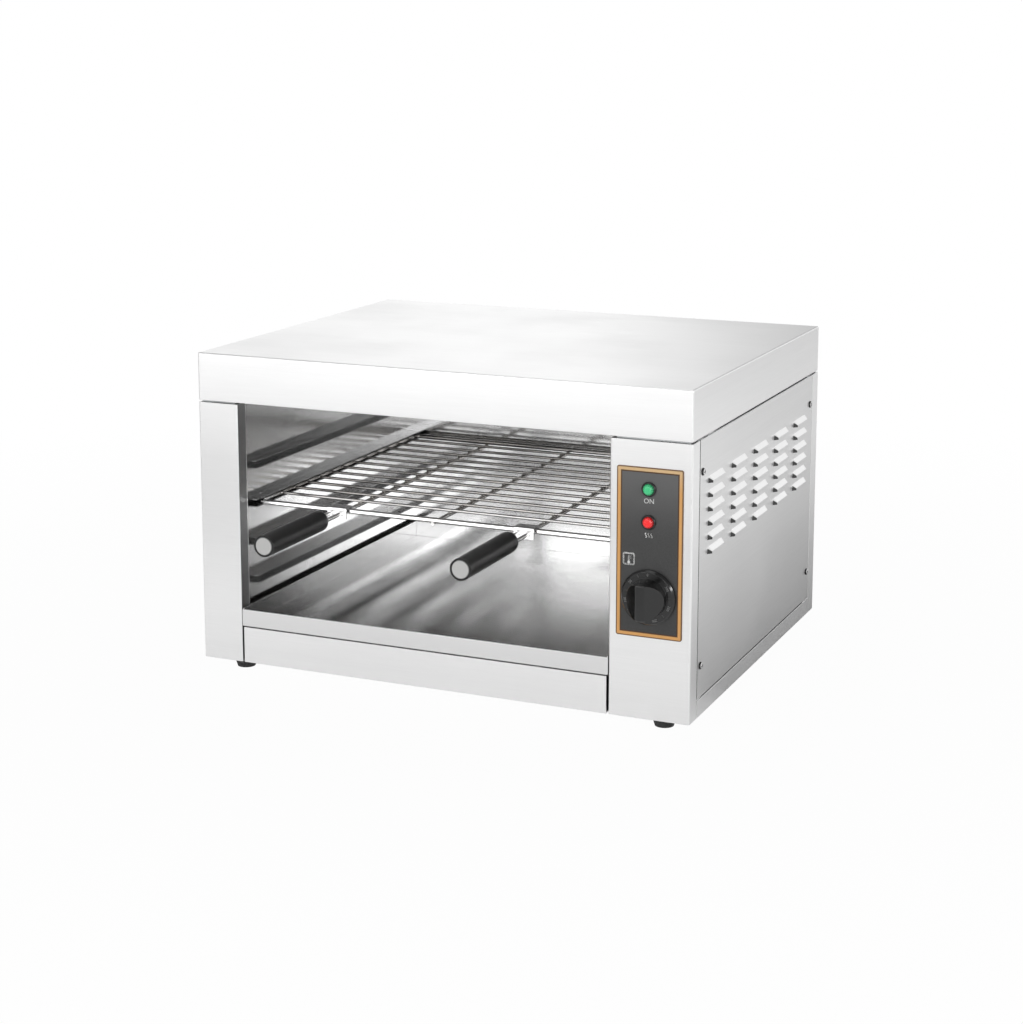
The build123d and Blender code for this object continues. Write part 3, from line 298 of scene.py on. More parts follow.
class SharedEffects:
    """The effects that several finishes use, each a node group that is built once."""

    def __init__(self) -> None:
        """Builds the groups."""
        self.sheet_grain = self._sheet_grain()
        self.worn_edge = self._worn_edge()
        self.handling = self._handling()
        self.fine_grain = self._fine_grain()
        self.rounded_frame = self._rounded_frame()

    @staticmethod
    def _start(name: str, outputs: tuple[str, ...],
               **inputs: object) -> tuple[Graph, Outputs, bpy.types.NodeInputs]:
        """Starts a node group that reads a Vector.

        Args:
            name: the group's name.
            outputs: the names of its outputs, of which only Normal is a vector.
            inputs: its other inputs with their default values, with _ for a space.

        Returns:
            The graph, the sockets that come in and those that go out.
        """
        tree = bpy.data.node_groups.new(name, "ShaderNodeTree")
        kinds = {True: "NodeSocketVector", False: "NodeSocketFloat"}
        for label, value in {"Vector": grey(0.0), **inputs}.items():
            made = tree.interface.new_socket(name=label.replace("_", " "), in_out="INPUT",
                                             socket_type=kinds[isinstance(value, tuple)])
            made.default_value = value
        for label in outputs:
            tree.interface.new_socket(name=label, in_out="OUTPUT",
                                      socket_type=kinds[label == "Normal"])
        given, result = tree.nodes.new("NodeGroupInput"), tree.nodes.new("NodeGroupOutput")
        return Graph(tree), given.outputs, result.inputs

    def _sheet_grain(self) -> bpy.types.NodeTree:
        """Builds the rolled grain of sheet, whose lines run level along every face.

        Returns:
            The node group, with Lines and the broader Bands.
        """
        graph, given, result = self._start("sheet_grain", ("Lines", "Bands"),
                                           Normal=(0.0, 0.0, 1.0), Pitch=900.0, Length=0.012)
        x, y, z = graph.split(given["Vector"])
        side_x, _, side_z = graph.split(given["Normal"])
        on_side = graph.math("MULTIPLY", side_x, side_x)
        on_top = graph.math("MULTIPLY", side_z, side_z)
        run = graph.math("MULTIPLY", graph.between(on_side, x, y), given["Length"])
        apart = graph.math("MULTIPLY", graph.between(on_side, y, x), 0.004)
        streaked = graph.join(graph.between(on_top, z, y), run, apart)
        broad = graph.math("MULTIPLY", given["Pitch"], 0.06)
        graph.feed(result["Lines"], graph.noise(streaked, given["Pitch"], 3.0, 0.7))
        graph.feed(result["Bands"], graph.noise(streaked, broad, 2.0, 0.6))
        return graph.tree

    def _worn_edge(self) -> bpy.types.NodeTree:
        """Builds the look of an edge that is rounded and rubbed.

        Returns:
            The node group, with the rounded Normal and the Rubbed mask.
        """
        graph, given, result = self._start("worn_edge", ("Normal", "Rubbed"), Radius=0.0006,
                                           Patches=160.0)
        rounded = graph.node("ShaderNodeBevel", {"Radius": given["Radius"]}, samples=4)
        flat = graph.node("ShaderNodeNewGeometry").outputs["Normal"]
        agree = graph.vector("DOT_PRODUCT", rounded.outputs[0], flat, output="Value")
        turned = graph.remap(graph.math("SUBTRACT", 1.0, agree), 0.01, 0.22)
        patches = graph.noise(given["Vector"], given["Patches"], 3.0, 0.6)
        graph.feed(result["Normal"], rounded.outputs[0])
        graph.feed(result["Rubbed"],
                   graph.math("MULTIPLY", turned, graph.remap(patches, 0.35, 0.65, 0.35, 1.0)))
        return graph.tree

    def _handling(self) -> bpy.types.NodeTree:
        """Builds the faint cloudy marks that wiping and hands leave.

        Returns:
            The node group, with Clouds and the thin Wipes.
        """
        graph, given, result = self._start("handling", ("Clouds", "Wipes"), Scale=9.0)
        clouds = graph.noise(given["Vector"], given["Scale"], 4.0, 0.55)
        turned = graph.node("ShaderNodeMapping", {"Vector": given["Vector"],
                            "Rotation": (0.3, 0.5, 0.4), "Scale": (1.0, 7.0, 2.0)})
        fine = graph.math("MULTIPLY", given["Scale"], 5.0)
        wipes = graph.noise(turned.outputs[0], fine, 3.0, 0.65)
        graph.feed(result["Clouds"], graph.remap(clouds, 0.42, 0.68))
        graph.feed(result["Wipes"], graph.remap(wipes, 0.6, 0.75))
        return graph.tree

    def _fine_grain(self) -> bpy.types.NodeTree:
        """Builds the fine pebbling of moulded plastic and rubber.

        Returns:
            The node group, with Height and slower Mottle.
        """
        graph, given, result = self._start("fine_grain", ("Height", "Mottle"), Scale=1500.0)
        slow = graph.math("MULTIPLY", given["Scale"], 0.04)
        graph.feed(result["Height"], graph.noise(given["Vector"], given["Scale"], 2.0, 0.6))
        graph.feed(result["Mottle"], graph.noise(given["Vector"], slow, 3.0, 0.5))
        return graph.tree

    def _rounded_frame(self) -> bpy.types.NodeTree:
        """Builds the depth inside a rounded oblong that stands upright and faces the front.

        Returns:
            The node group, with Depth in metres from the edge inwards.
        """
        graph, given, result = self._start("rounded_frame", ("Depth",), Centre=grey(0.0),
                                           Half_Size=(0.1, 1.0, 0.1), Corner=0.002)
        folded = graph.vector("ABSOLUTE",
                              graph.vector("SUBTRACT", given["Vector"], given["Centre"]))
        corner = given["Corner"]
        inner = graph.vector("SUBTRACT", given["Half Size"], graph.join(corner, corner, corner))
        x, _, z = graph.split(graph.vector("SUBTRACT", folded, inner))
        past_x, past_z = (graph.math("MAXIMUM", part, 0.0) for part in (x, z))
        outside = graph.vector("LENGTH", graph.join(past_x, 0.0, past_z), output="Value")
        inside = graph.math("MINIMUM", graph.math("MAXIMUM", x, z), 0.0)
        distance = graph.math("SUBTRACT", graph.math("ADD", outside, inside), corner)
        graph.feed(result["Depth"], graph.math("MULTIPLY", distance, -1.0))
        return graph.tree


# ---------------------------------------------------------------- finishes


class Blank:
    """A new material with its graph, its surface shader and the coordinates that it reads."""

    def __init__(self, name: str, metallic: float, effects: SharedEffects | None) -> None:
        """Makes the material.

        Args:
            name: the material's name.
            metallic: how far it is metal.
            effects: the shared node groups, if it uses any.
        """
        self.effects = effects
        self.material = bpy.data.materials.new(name)
        self.material.use_nodes = True
        self.graph = Graph(self.material.node_tree)
        self.shader = self.material.node_tree.nodes["Principled BSDF"]
        coordinates = self.graph.node("ShaderNodeTexCoord").outputs
        self.place, self.normal = coordinates["Object"], coordinates["Normal"]
        self.set(Metallic=metallic)

    def set(self, **inputs: object) -> None:
        """Sets or links sockets of the surface shader, named with _ for a space."""
        for name, value in inputs.items():
            self.graph.feed(self.shader.inputs[name.replace("_", " ")], opaque(value))

    def handling(self, scale: float = 9.0) -> Outputs:
        """Places the marks of wiping and hands, and gives their Clouds and Wipes."""
        return self.graph.group(self.effects.handling, Vector=self.place, Scale=scale).outputs

    def fine_grain(self, scale: float) -> Outputs:
        """Places the fine pebbling, and gives its Height and Mottle."""
        return self.graph.group(self.effects.fine_grain, Vector=self.place, Scale=scale).outputs

    def worn_edge(self, radius: float, patches: float = 160.0) -> Outputs:
        """Places the worn edge, and gives its Normal and Rubbed."""
        return self.graph.group(self.effects.worn_edge, Vector=self.place, Radius=radius,
                                Patches=patches).outputs

    def from_axis(self, x: Socket, z: Socket) -> Socket:
        """Gives the distance from an axis that runs from front to back."""
        return self.graph.vector("LENGTH", self.graph.join(x, 0.0, z), output="Value")

    def bump(self, height: Socket, strength: float, distance: float,
             normal: Socket | None = None) -> None:
        """Puts fine relief on the surface.

        Args:
            height: the pattern that is raised.
            strength: how much of it shows.
            distance: its height in metres.
            normal: the normal that it starts from, if not the mesh's own.
        """
        inputs = {"Strength": strength, "Distance": distance, "Height": height}
        if normal is not None:
            inputs["Normal"] = normal
        self.set(Normal=self.graph.node("ShaderNodeBump", inputs).outputs[0])


@dataclass(frozen=True)
class Finish:
    """What all finishes share: each is painted on a blank of its own."""

    name: str
    metallic: ClassVar[float] = 0.0

    def build(self, effects: SharedEffects) -> bpy.types.Material:
        """Builds the material.

        Args:
            effects: the shared node groups.

        Returns:
            The material.
        """
        blank = Blank(self.name, self.metallic, effects)
        self.paint(blank)
        return blank.material

    def paint(self, blank: Blank) -> None:
        """Paints the new material, which each finish does in its own way."""
        raise NotImplementedError(self.name)


@dataclass(frozen=True)
class SheetSteel(Finish):
    """Stainless sheet: level grain, soft handling marks, bright rubbed bends.

    Faces that look right and lie left of a given x, if one is given, are painted dark: painted
    shade inside the oven's mouth. With the louvre option the faces that look ahead or down are
    painted dark, painted shade in the louvres' mouths, faces that look up are painted lighter, a
    painted highlight, and the rest a little darker. With the lip option the faces that look ahead
    are painted lighter, as lit.
    """

    colour: Colour
    roughness: float
    pitch: float = 1500.0
    line_gloss: float = 0.05
    line_tone: float = 0.035
    band_tone: float = 0.012
    cloud_gloss: float = 0.04
    edge_radius: float = 0.0007
    relief: float = 0.03
    smoked_left: float | None = None
    dark_mouths: bool = False
    bright_lip: bool = False
    metallic: ClassVar[float] = 1.0

    def paint(self, blank: Blank) -> None:
        """Paints the new material.

        Args:
            blank: the material.
        """
        graph = blank.graph
        grain = graph.group(blank.effects.sheet_grain, Vector=blank.place, Normal=blank.normal,
                            Pitch=self.pitch).outputs
        marks, edge = blank.handling(), blank.worn_edge(self.edge_radius)
        lined = graph.blend(graph.remap(grain["Lines"], 0.3, 0.7),
                            scaled(self.colour, 1.0 - self.line_tone), self.colour)
        banded = graph.blend(graph.remap(grain["Bands"], 0.35, 0.65), grey(1.0 - self.band_tone),
                             grey(1.0))
        tone = graph.blend(1.0, lined, banded, "MULTIPLY")
        face = graph.blend(edge["Rubbed"], tone, scaled(self.colour, 1.06, top=0.97))
        gloss = graph.remap(grain["Lines"], 0.3, 0.7, self.roughness + self.line_gloss / 2,
                            self.roughness - self.line_gloss / 2)
        clouded = graph.math("MULTIPLY_ADD", marks["Clouds"], self.cloud_gloss, gloss)
        wiped = graph.math("MULTIPLY_ADD", marks["Wipes"], self.cloud_gloss / 2, clouded)
        blank.set(Base_Color=self.by_side(blank, face), Roughness=wiped)
        blank.bump(grain["Lines"], self.relief, 0.0001, edge["Normal"])

    def by_side(self, blank: Blank, face: Socket) -> Socket:
        """Paints shade or light on the faces that look a certain way.

        Args:
            blank: the material.
            face: the colour of plain faces.

        Returns:
            The colour of all faces.
        """
        graph = blank.graph
        sideways, ahead, up = graph.split(blank.normal)
        # painted shade: faces that look right and lie left of the given x, inside the oven's mouth,
        # are painted dark
        if self.smoked_left is not None:
            beyond = graph.remap(graph.split(blank.place)[0], self.smoked_left,
                                 self.smoked_left + 0.002, 1.0, 0.0)
            painted_post_shade = graph.math("MULTIPLY", graph.remap(sideways, 0.6, 0.9), beyond)
            face = graph.blend(painted_post_shade, face, scaled(self.colour, 0.3))
        # painted shade in the louvres' mouths (faces that look ahead or down), a painted highlight
        # on faces that look up, and the rest a little darker
        if self.dark_mouths:
            painted_mouth_shade = graph.math("MAXIMUM", graph.remap(ahead, -0.5, -0.4, 1.0, 0.0),
                               graph.remap(up, -0.6, -0.5, 1.0, 0.0))
            shaded = graph.blend(1.0, face, grey(0.87), "MULTIPLY")
            face = graph.blend(graph.remap(up, 0.15, 0.35), shaded, grey(0.97))
            face = graph.blend(painted_mouth_shade, face, grey(0.07))
        # painted light: faces that look ahead are painted lighter, as lit
        if self.bright_lip:
            face = graph.blend(graph.remap(ahead, -0.9, -0.6, 1.0, 0.0), face, grey(0.78))
        return face


@dataclass(frozen=True)
class ScrewHead(Finish):
    """Bright screw steel whose rim and recess walls are painted dark as shade."""

    colour: Colour = grey(0.66)
    rim: Colour = grey(0.035)
    roughness: float = 0.24
    metallic: ClassVar[float] = 1.0

    def paint(self, blank: Blank) -> None:
        """Paints the new material.

        Args:
            blank: the material.
        """
        graph = blank.graph
        sideways, back, _ = graph.split(blank.normal)
        # painted shade: only faces that look straight out of the cover or the back keep the bright
        # colour
        bright = graph.remap(graph.math("MAXIMUM", sideways, back), 0.70, 0.86)
        grain = blank.fine_grain(1800.0)
        blank.set(Base_Color=graph.blend(bright, self.rim, self.colour),
                  Roughness=graph.remap(grain["Mottle"], 0.35, 0.65, self.roughness,
                                        self.roughness + 0.12))
        blank.bump(grain["Height"], 0.1, 0.00004)


@dataclass(frozen=True)
class GalvanisedSheet(Finish):
    """Zinc-coated sheet with its crystal patches."""

    colour: Colour = (0.55, 0.57, 0.58)
    roughness: float = 0.42
    crystal: float = 90.0
    metallic: ClassVar[float] = 1.0

    def paint(self, blank: Blank) -> None:
        """Paints the new material.

        Args:
            blank: the material.
        """
        graph = blank.graph
        cells = graph.node("ShaderNodeTexVoronoi", {"Vector": blank.place, "Scale": self.crystal})
        shade = graph.split(cells.outputs["Color"])[0]
        rough = graph.remap(shade, 0.0, 1.0, self.roughness - 0.1, self.roughness + 0.08)
        blank.set(Base_Color=graph.blend(shade, scaled(self.colour, 0.72),
                                         scaled(self.colour, 1.18)),
                  Roughness=graph.math("MULTIPLY_ADD", blank.handling()["Clouds"], 0.08, rough))
        blank.bump(shade, 0.08, 0.0002)


@dataclass(frozen=True)
class ChromedWire(Finish):
    """Bright plated wire, painted darker as shade deeper in the chamber."""

    colour: Colour = grey(0.82)
    roughness: float = 0.1
    stain: Colour = (0.50, 0.47, 0.43)
    heated: Colour = (0.30, 0.29, 0.28)
    heated_from: tuple[float, float] = (-0.114, -0.070)
    metallic: ClassVar[float] = 1.0

    def paint(self, blank: Blank) -> None:
        """Paints the new material.

        Args:
            blank: the material.
        """
        graph = blank.graph
        marks, grain = blank.handling(24.0), blank.fine_grain(900.0)
        stained = graph.math("MULTIPLY", marks["Clouds"], 0.35)
        # painted shade: the wire is painted darker from the rack's front towards the back of the
        # chamber
        depth = graph.remap(graph.split(blank.place)[1], *self.heated_from)
        plated = graph.blend(depth, self.colour, self.heated)
        rough = graph.remap(grain["Mottle"], 0.3, 0.7, self.roughness, self.roughness + 0.07)
        blank.set(Base_Color=graph.blend(stained, plated, self.stain),
                  Roughness=graph.math("MULTIPLY_ADD", marks["Wipes"], 0.12, rough))
        blank.bump(grain["Height"], 0.04, 0.00005)


@dataclass(frozen=True)
class MouldedPlastic(Finish):
    """Moulded plastic or rubber with a fine skin, dusty in patches, pale at its edges."""

    colour: Colour
    roughness: float
    grain: float = 1500.0
    relief: float = 0.15
    dust: float = 0.04
    edge_light: float = 1.6
    edge_radius: float = 0.0006
    coat: float = 0.0

    def paint(self, blank: Blank) -> None:
        """Paints the new material.

        Args:
            blank: the material.
        """
        graph = blank.graph
        skin, marks = blank.fine_grain(self.grain), blank.handling(30.0)
        edge = blank.worn_edge(self.edge_radius, 400.0)
        rubbed = graph.blend(edge["Rubbed"], self.colour,
                             scaled(self.colour, self.edge_light, 0.01))
        settled = graph.math("MULTIPLY", marks["Clouds"], self.dust)
        rough = graph.remap(skin["Mottle"], 0.3, 0.7, self.roughness - 0.04, self.roughness + 0.05)
        blank.set(Base_Color=graph.blend(settled, rubbed, scaled(self.colour, 1.0, 0.10)),
                  Roughness=graph.math("MULTIPLY_ADD", marks["Wipes"], 0.08, rough),
                  Coat_Weight=self.coat, Coat_Roughness=0.08)
        blank.bump(skin["Height"], self.relief, 0.00008, edge["Normal"])


@dataclass(frozen=True)
class TurnedDisc(Finish):
    """Pale metal discs at the ends of the two grips, with turning rings round each centre."""

    centre: Place
    half_spacing: float
    colour: Colour = (0.62, 0.62, 0.61)
    roughness: float = 0.34
    ring_pitch: float = 0.0011
    rim: float = 0.0076
    metallic: ClassVar[float] = 1.0

    def paint(self, blank: Blank) -> None:
        """Paints the new material.

        Args:
            blank: the material.
        """
        graph = blank.graph
        x, _, z = graph.split(graph.vector("SUBTRACT", blank.place, self.centre))
        nearest = graph.math("SUBTRACT", graph.math("ABSOLUTE", x), self.half_spacing)
        radius = blank.from_axis(nearest, z)
        turns = graph.math("MULTIPLY", radius, 2.0 * math.pi / self.ring_pitch)
        rings = graph.remap(graph.math("SINE", turns), -1.0, 1.0)
        turned = graph.blend(rings, scaled(self.colour, 0.86), self.colour)
        rough = graph.remap(rings, 0.0, 1.0, self.roughness + 0.08, self.roughness)
        blank.set(Base_Color=graph.blend(graph.remap(radius, self.rim, self.rim + 0.0003), turned,
                                         grey(0.25)),
                  Roughness=graph.math("MULTIPLY_ADD", blank.handling(120.0)["Clouds"], 0.15,
                                       rough))
        blank.bump(rings, 0.12, 0.00005, blank.worn_edge(0.0005)["Normal"])


@dataclass(frozen=True)
class PanelPrint(Finish):
    """Grey overlay with a gold double line round its edge; both get lighter towards the top,
    painted light.
    """

    centre: Place
    half_size: Place
    corner: float
    line: float = 0.0010
    band: float = 0.0037
    border: float = 0.0049
    fade: float = 0.00025
    low_grey: float = 0.036
    middle_grey: float = 0.052
    top_grey: float = 0.160
    outer: Colour = (0.20, 0.10, 0.045)
    cream: Colour = (0.94, 0.66, 0.36)
    gold: Colour = (0.96, 0.50, 0.17)
    inner: Colour = (0.085, 0.036, 0.010)

    def paint(self, blank: Blank) -> None:
        """Paints the new material.

        Args:
            blank: the material.
        """
        graph = blank.graph
        skin, marks = blank.fine_grain(2200.0), blank.handling(40.0)
        depth = graph.group(blank.effects.rounded_frame, Vector=blank.place, Centre=self.centre,
                            Half_Size=self.half_size, Corner=self.corner).outputs["Depth"]
        rise = graph.remap(graph.split(blank.place)[2], self.centre[2] - self.half_size[2],
                           self.centre[2] + self.half_size[2])
        # painted light: the gold line turns cream and the grey grows lighter towards the top
        gilt_painted_lighter_up = graph.ramp(rise, [(0.0, self.gold), (0.86, self.gold), (1.0, self.cream)])
        shade = graph.ramp(rise, [(0.0, grey(self.low_grey)), (0.55, grey(self.middle_grey)),
                                  (1.0, grey(self.top_grey))], smooth=True)
        flecked = graph.blend(graph.remap(skin["Height"], 0.35, 0.65, 0.0, 0.22), shade,
                              grey(0.16))
        face = self.outer
        for start, colour in ((self.line, gilt_painted_lighter_up), (self.band, self.inner), (self.border, flecked)):
            share = graph.remap(depth, start - self.fade, start + self.fade)
            face = graph.blend(share, face, colour)
        blank.set(Base_Color=face, Roughness=graph.remap(marks["Clouds"], 0.0, 1.0, 0.34, 0.42))
        blank.bump(skin["Height"], 0.10, 0.00004)


@dataclass(frozen=True)
class LampLens(Finish):
    """Clear coloured lens with moulded facets painted lighter as glints, and a painted glow though
    the lamp is off.
    """

    colour: Colour
    centre: Place
    deep: float = 0.22
    facets: float = 14.0
    glow: float = 0.4

    def paint(self, blank: Blank) -> None:
        """Paints the new material.

        Args:
            blank: the material.
        """
        graph = blank.graph
        x, _, z = graph.split(graph.vector("SUBTRACT", blank.place, self.centre))
        radius = blank.from_axis(x, z)
        ripples = (graph.math("MULTIPLY", graph.math("ARCTAN2", z, x), self.facets / 2.0),
                   graph.math("MULTIPLY", radius, 2600.0))
        spokes, rings = (graph.math("ABSOLUTE", graph.math("SINE", wave)) for wave in ripples)
        cut = graph.math("MULTIPLY", spokes, rings)
        tint = graph.blend(graph.remap(radius, 0.0028, 0.0052), self.colour,
                           scaled(self.colour, self.deep))
        # painted highlight on the facets, and a painted glow on the lens of a lamp that is off
        blank.set(Base_Color=graph.blend(cut, tint, scaled(self.colour, 1.15, 0.03)),
                  Emission_Color=tint, Emission_Strength=self.glow, Coat_Weight=0.6,
                  Coat_Roughness=0.04,
                  Roughness=graph.remap(blank.handling(200.0)["Clouds"], 0.0, 1.0, 0.1, 0.2))
        blank.bump(cut, 0.25, 0.0003)


@dataclass(frozen=True)
class HeatedSheath(Finish):
    """Metal sheath of a heating element, mottled grey and brown by heat."""

    cool: Colour = (0.20, 0.20, 0.19)
    scorched: Colour = (0.085, 0.065, 0.05)
    pale: Colour = (0.32, 0.31, 0.30)
    metallic: ClassVar[float] = 0.7

    def paint(self, blank: Blank) -> None:
        """Paints the new material.

        Args:
            blank: the material.
        """
        graph = blank.graph
        skin = blank.fine_grain(1100.0)
        burnt = graph.remap(skin["Mottle"], 0.4, 0.62)
        faded = graph.math("MULTIPLY", blank.handling(45.0)["Clouds"], 0.3)
        tone = graph.blend(burnt, self.cool, self.scorched)
        blank.set(Base_Color=graph.blend(faded, tone, self.pale),
                  Roughness=graph.remap(burnt, 0.0, 1.0, 0.42, 0.66))
        blank.bump(skin["Height"], 0.3, 0.0001)


@dataclass(frozen=True)
class PrintedInk(Finish):
    """Pale printed ink, thin in places."""

    colour: Colour = (0.93, 0.93, 0.92)
    worn: Colour = (0.70, 0.70, 0.69)

    def paint(self, blank: Blank) -> None:
        """Paints the new material.

        Args:
            blank: the material.
        """
        graph = blank.graph
        skin = blank.fine_grain(2600.0)
        thin = graph.remap(skin["Height"], 0.5, 0.75)
        blank.set(Base_Color=graph.blend(thin, self.colour, self.worn),
                  Roughness=graph.remap(thin, 0.0, 1.0, 0.42, 0.6))
        blank.bump(skin["Height"], 0.1, 0.00003)


class FinishBook:
    """All finishes, by the record's slot that each one fills."""

    def __init__(self, effects: SharedEffects) -> None:
        """Builds every material.

        Args:
            effects: the shared node groups.
        """
        shell = grey(0.92)
        finishes = {
            # the shell steel carries a painted shade on the left post's inner faces
            "stainless_shell": SheetSteel("shell steel", shell, 0.30, smoked_left=-0.2055),
            "stainless_liner": SheetSteel("liner steel", shell, 0.13, pitch=900.0, line_tone=0.08,
                                          band_tone=0.08),
            # painted shade and light: the tray steel is a darker copy of the liner's, with its
            # front lip painted lighter as lit
            "stainless_tray": SheetSteel("tray steel", grey(0.50), 0.10, pitch=900.0,
                                         line_gloss=0.03, band_tone=0.05, cloud_gloss=0.05,
                                         bright_lip=True),
            "galvanised_base": GalvanisedSheet("galvanised sheet"),
            "chromed_wire": ChromedWire("chromed wire"),
            "grip_plastic": MouldedPlastic("grip plastic", grey(0.018), 0.36, grain=1100.0,
                                           relief=0.25),
            "grip_cap": TurnedDisc("turned cap", (-0.017, 0.0, 0.1644), 0.097),
            "knob_plastic": MouldedPlastic("knob plastic", grey(0.010), 0.17, relief=0.03,
                                           dust=0.02, coat=0.3),
            "panel_print": PanelPrint("panel print", (0.211, -0.1498, 0.1652),
                                      (0.031, 1.0, 0.07725), 0.002),
            "lens_green": LampLens("green lens", (0.03, 0.50, 0.19), (0.2102, -0.1544, 0.223)),
            "lens_red": LampLens("red lens", (0.93, 0.003, 0.005), (0.2102, -0.1544, 0.1933)),
            "lamp_black": MouldedPlastic("black plastic", grey(0.015), 0.3),
            "element_sheath": HeatedSheath("element sheath"),
            "screw_steel": ScrewHead("screw steel"),
            "thermostat_case": MouldedPlastic("thermostat case", (0.035, 0.03, 0.028), 0.5),
            "terminal_cream": MouldedPlastic("terminal plastic", (0.66, 0.60, 0.46), 0.45,
                                             edge_light=1.1),
            "foot_rubber": MouldedPlastic("foot rubber", grey(0.022), 0.62, grain=900.0,
                                          relief=0.35, dust=0.12),
        }
        self.materials = {slot: finish.build(effects) for slot, finish in finishes.items()}
        self.ink = PrintedInk("printed ink").build(effects)
        self.dial_ink = PrintedInk("dial ink", grey(0.30), grey(0.16)).build(effects)
        # the cover steel has painted shade in its louvres' mouths and a painted highlight on their
        # tops
        cover = SheetSteel("cover steel", shell, 0.30, dark_mouths=True)
        # painted shade: the runners get a darker copy of the liner's steel
        runner = SheetSteel("runner steel", grey(0.34), 0.20, line_tone=0.1).build(effects)
        bracket = SheetSteel("bracket steel", grey(0.55), 0.24).build(effects)
        self.special = {"louvred_cover": cover.build(effects)}
        for side in ("left", "right"):
            self.special[f"handle_bracket_{side}"] = bracket
            for level in range(1, 5):
                self.special[f"runner_{side}_{level}"] = runner

    def dress(self, node: bpy.types.Object) -> None:
        """Gives a CAD node the finish of its slot.

        Args:
            node: the CAD node's object.
        """
        for holder in node.material_slots:
            name = holder.material.name.split(".")[0]
            holder.material = self.special.get(node.name, self.materials[name])
            LOG.info("finish %s on %s", name, node.name)


# ---------------------------------------------------------------- making meshes


def put_in_scene(name: str, data: bpy.types.ID) -> bpy.types.Object:
    """Makes an object of a mesh, curve, light or camera, and links it to the scene."""
    made = bpy.data.objects.new(name, data)
    bpy.context.scene.collection.objects.link(made)
    return made


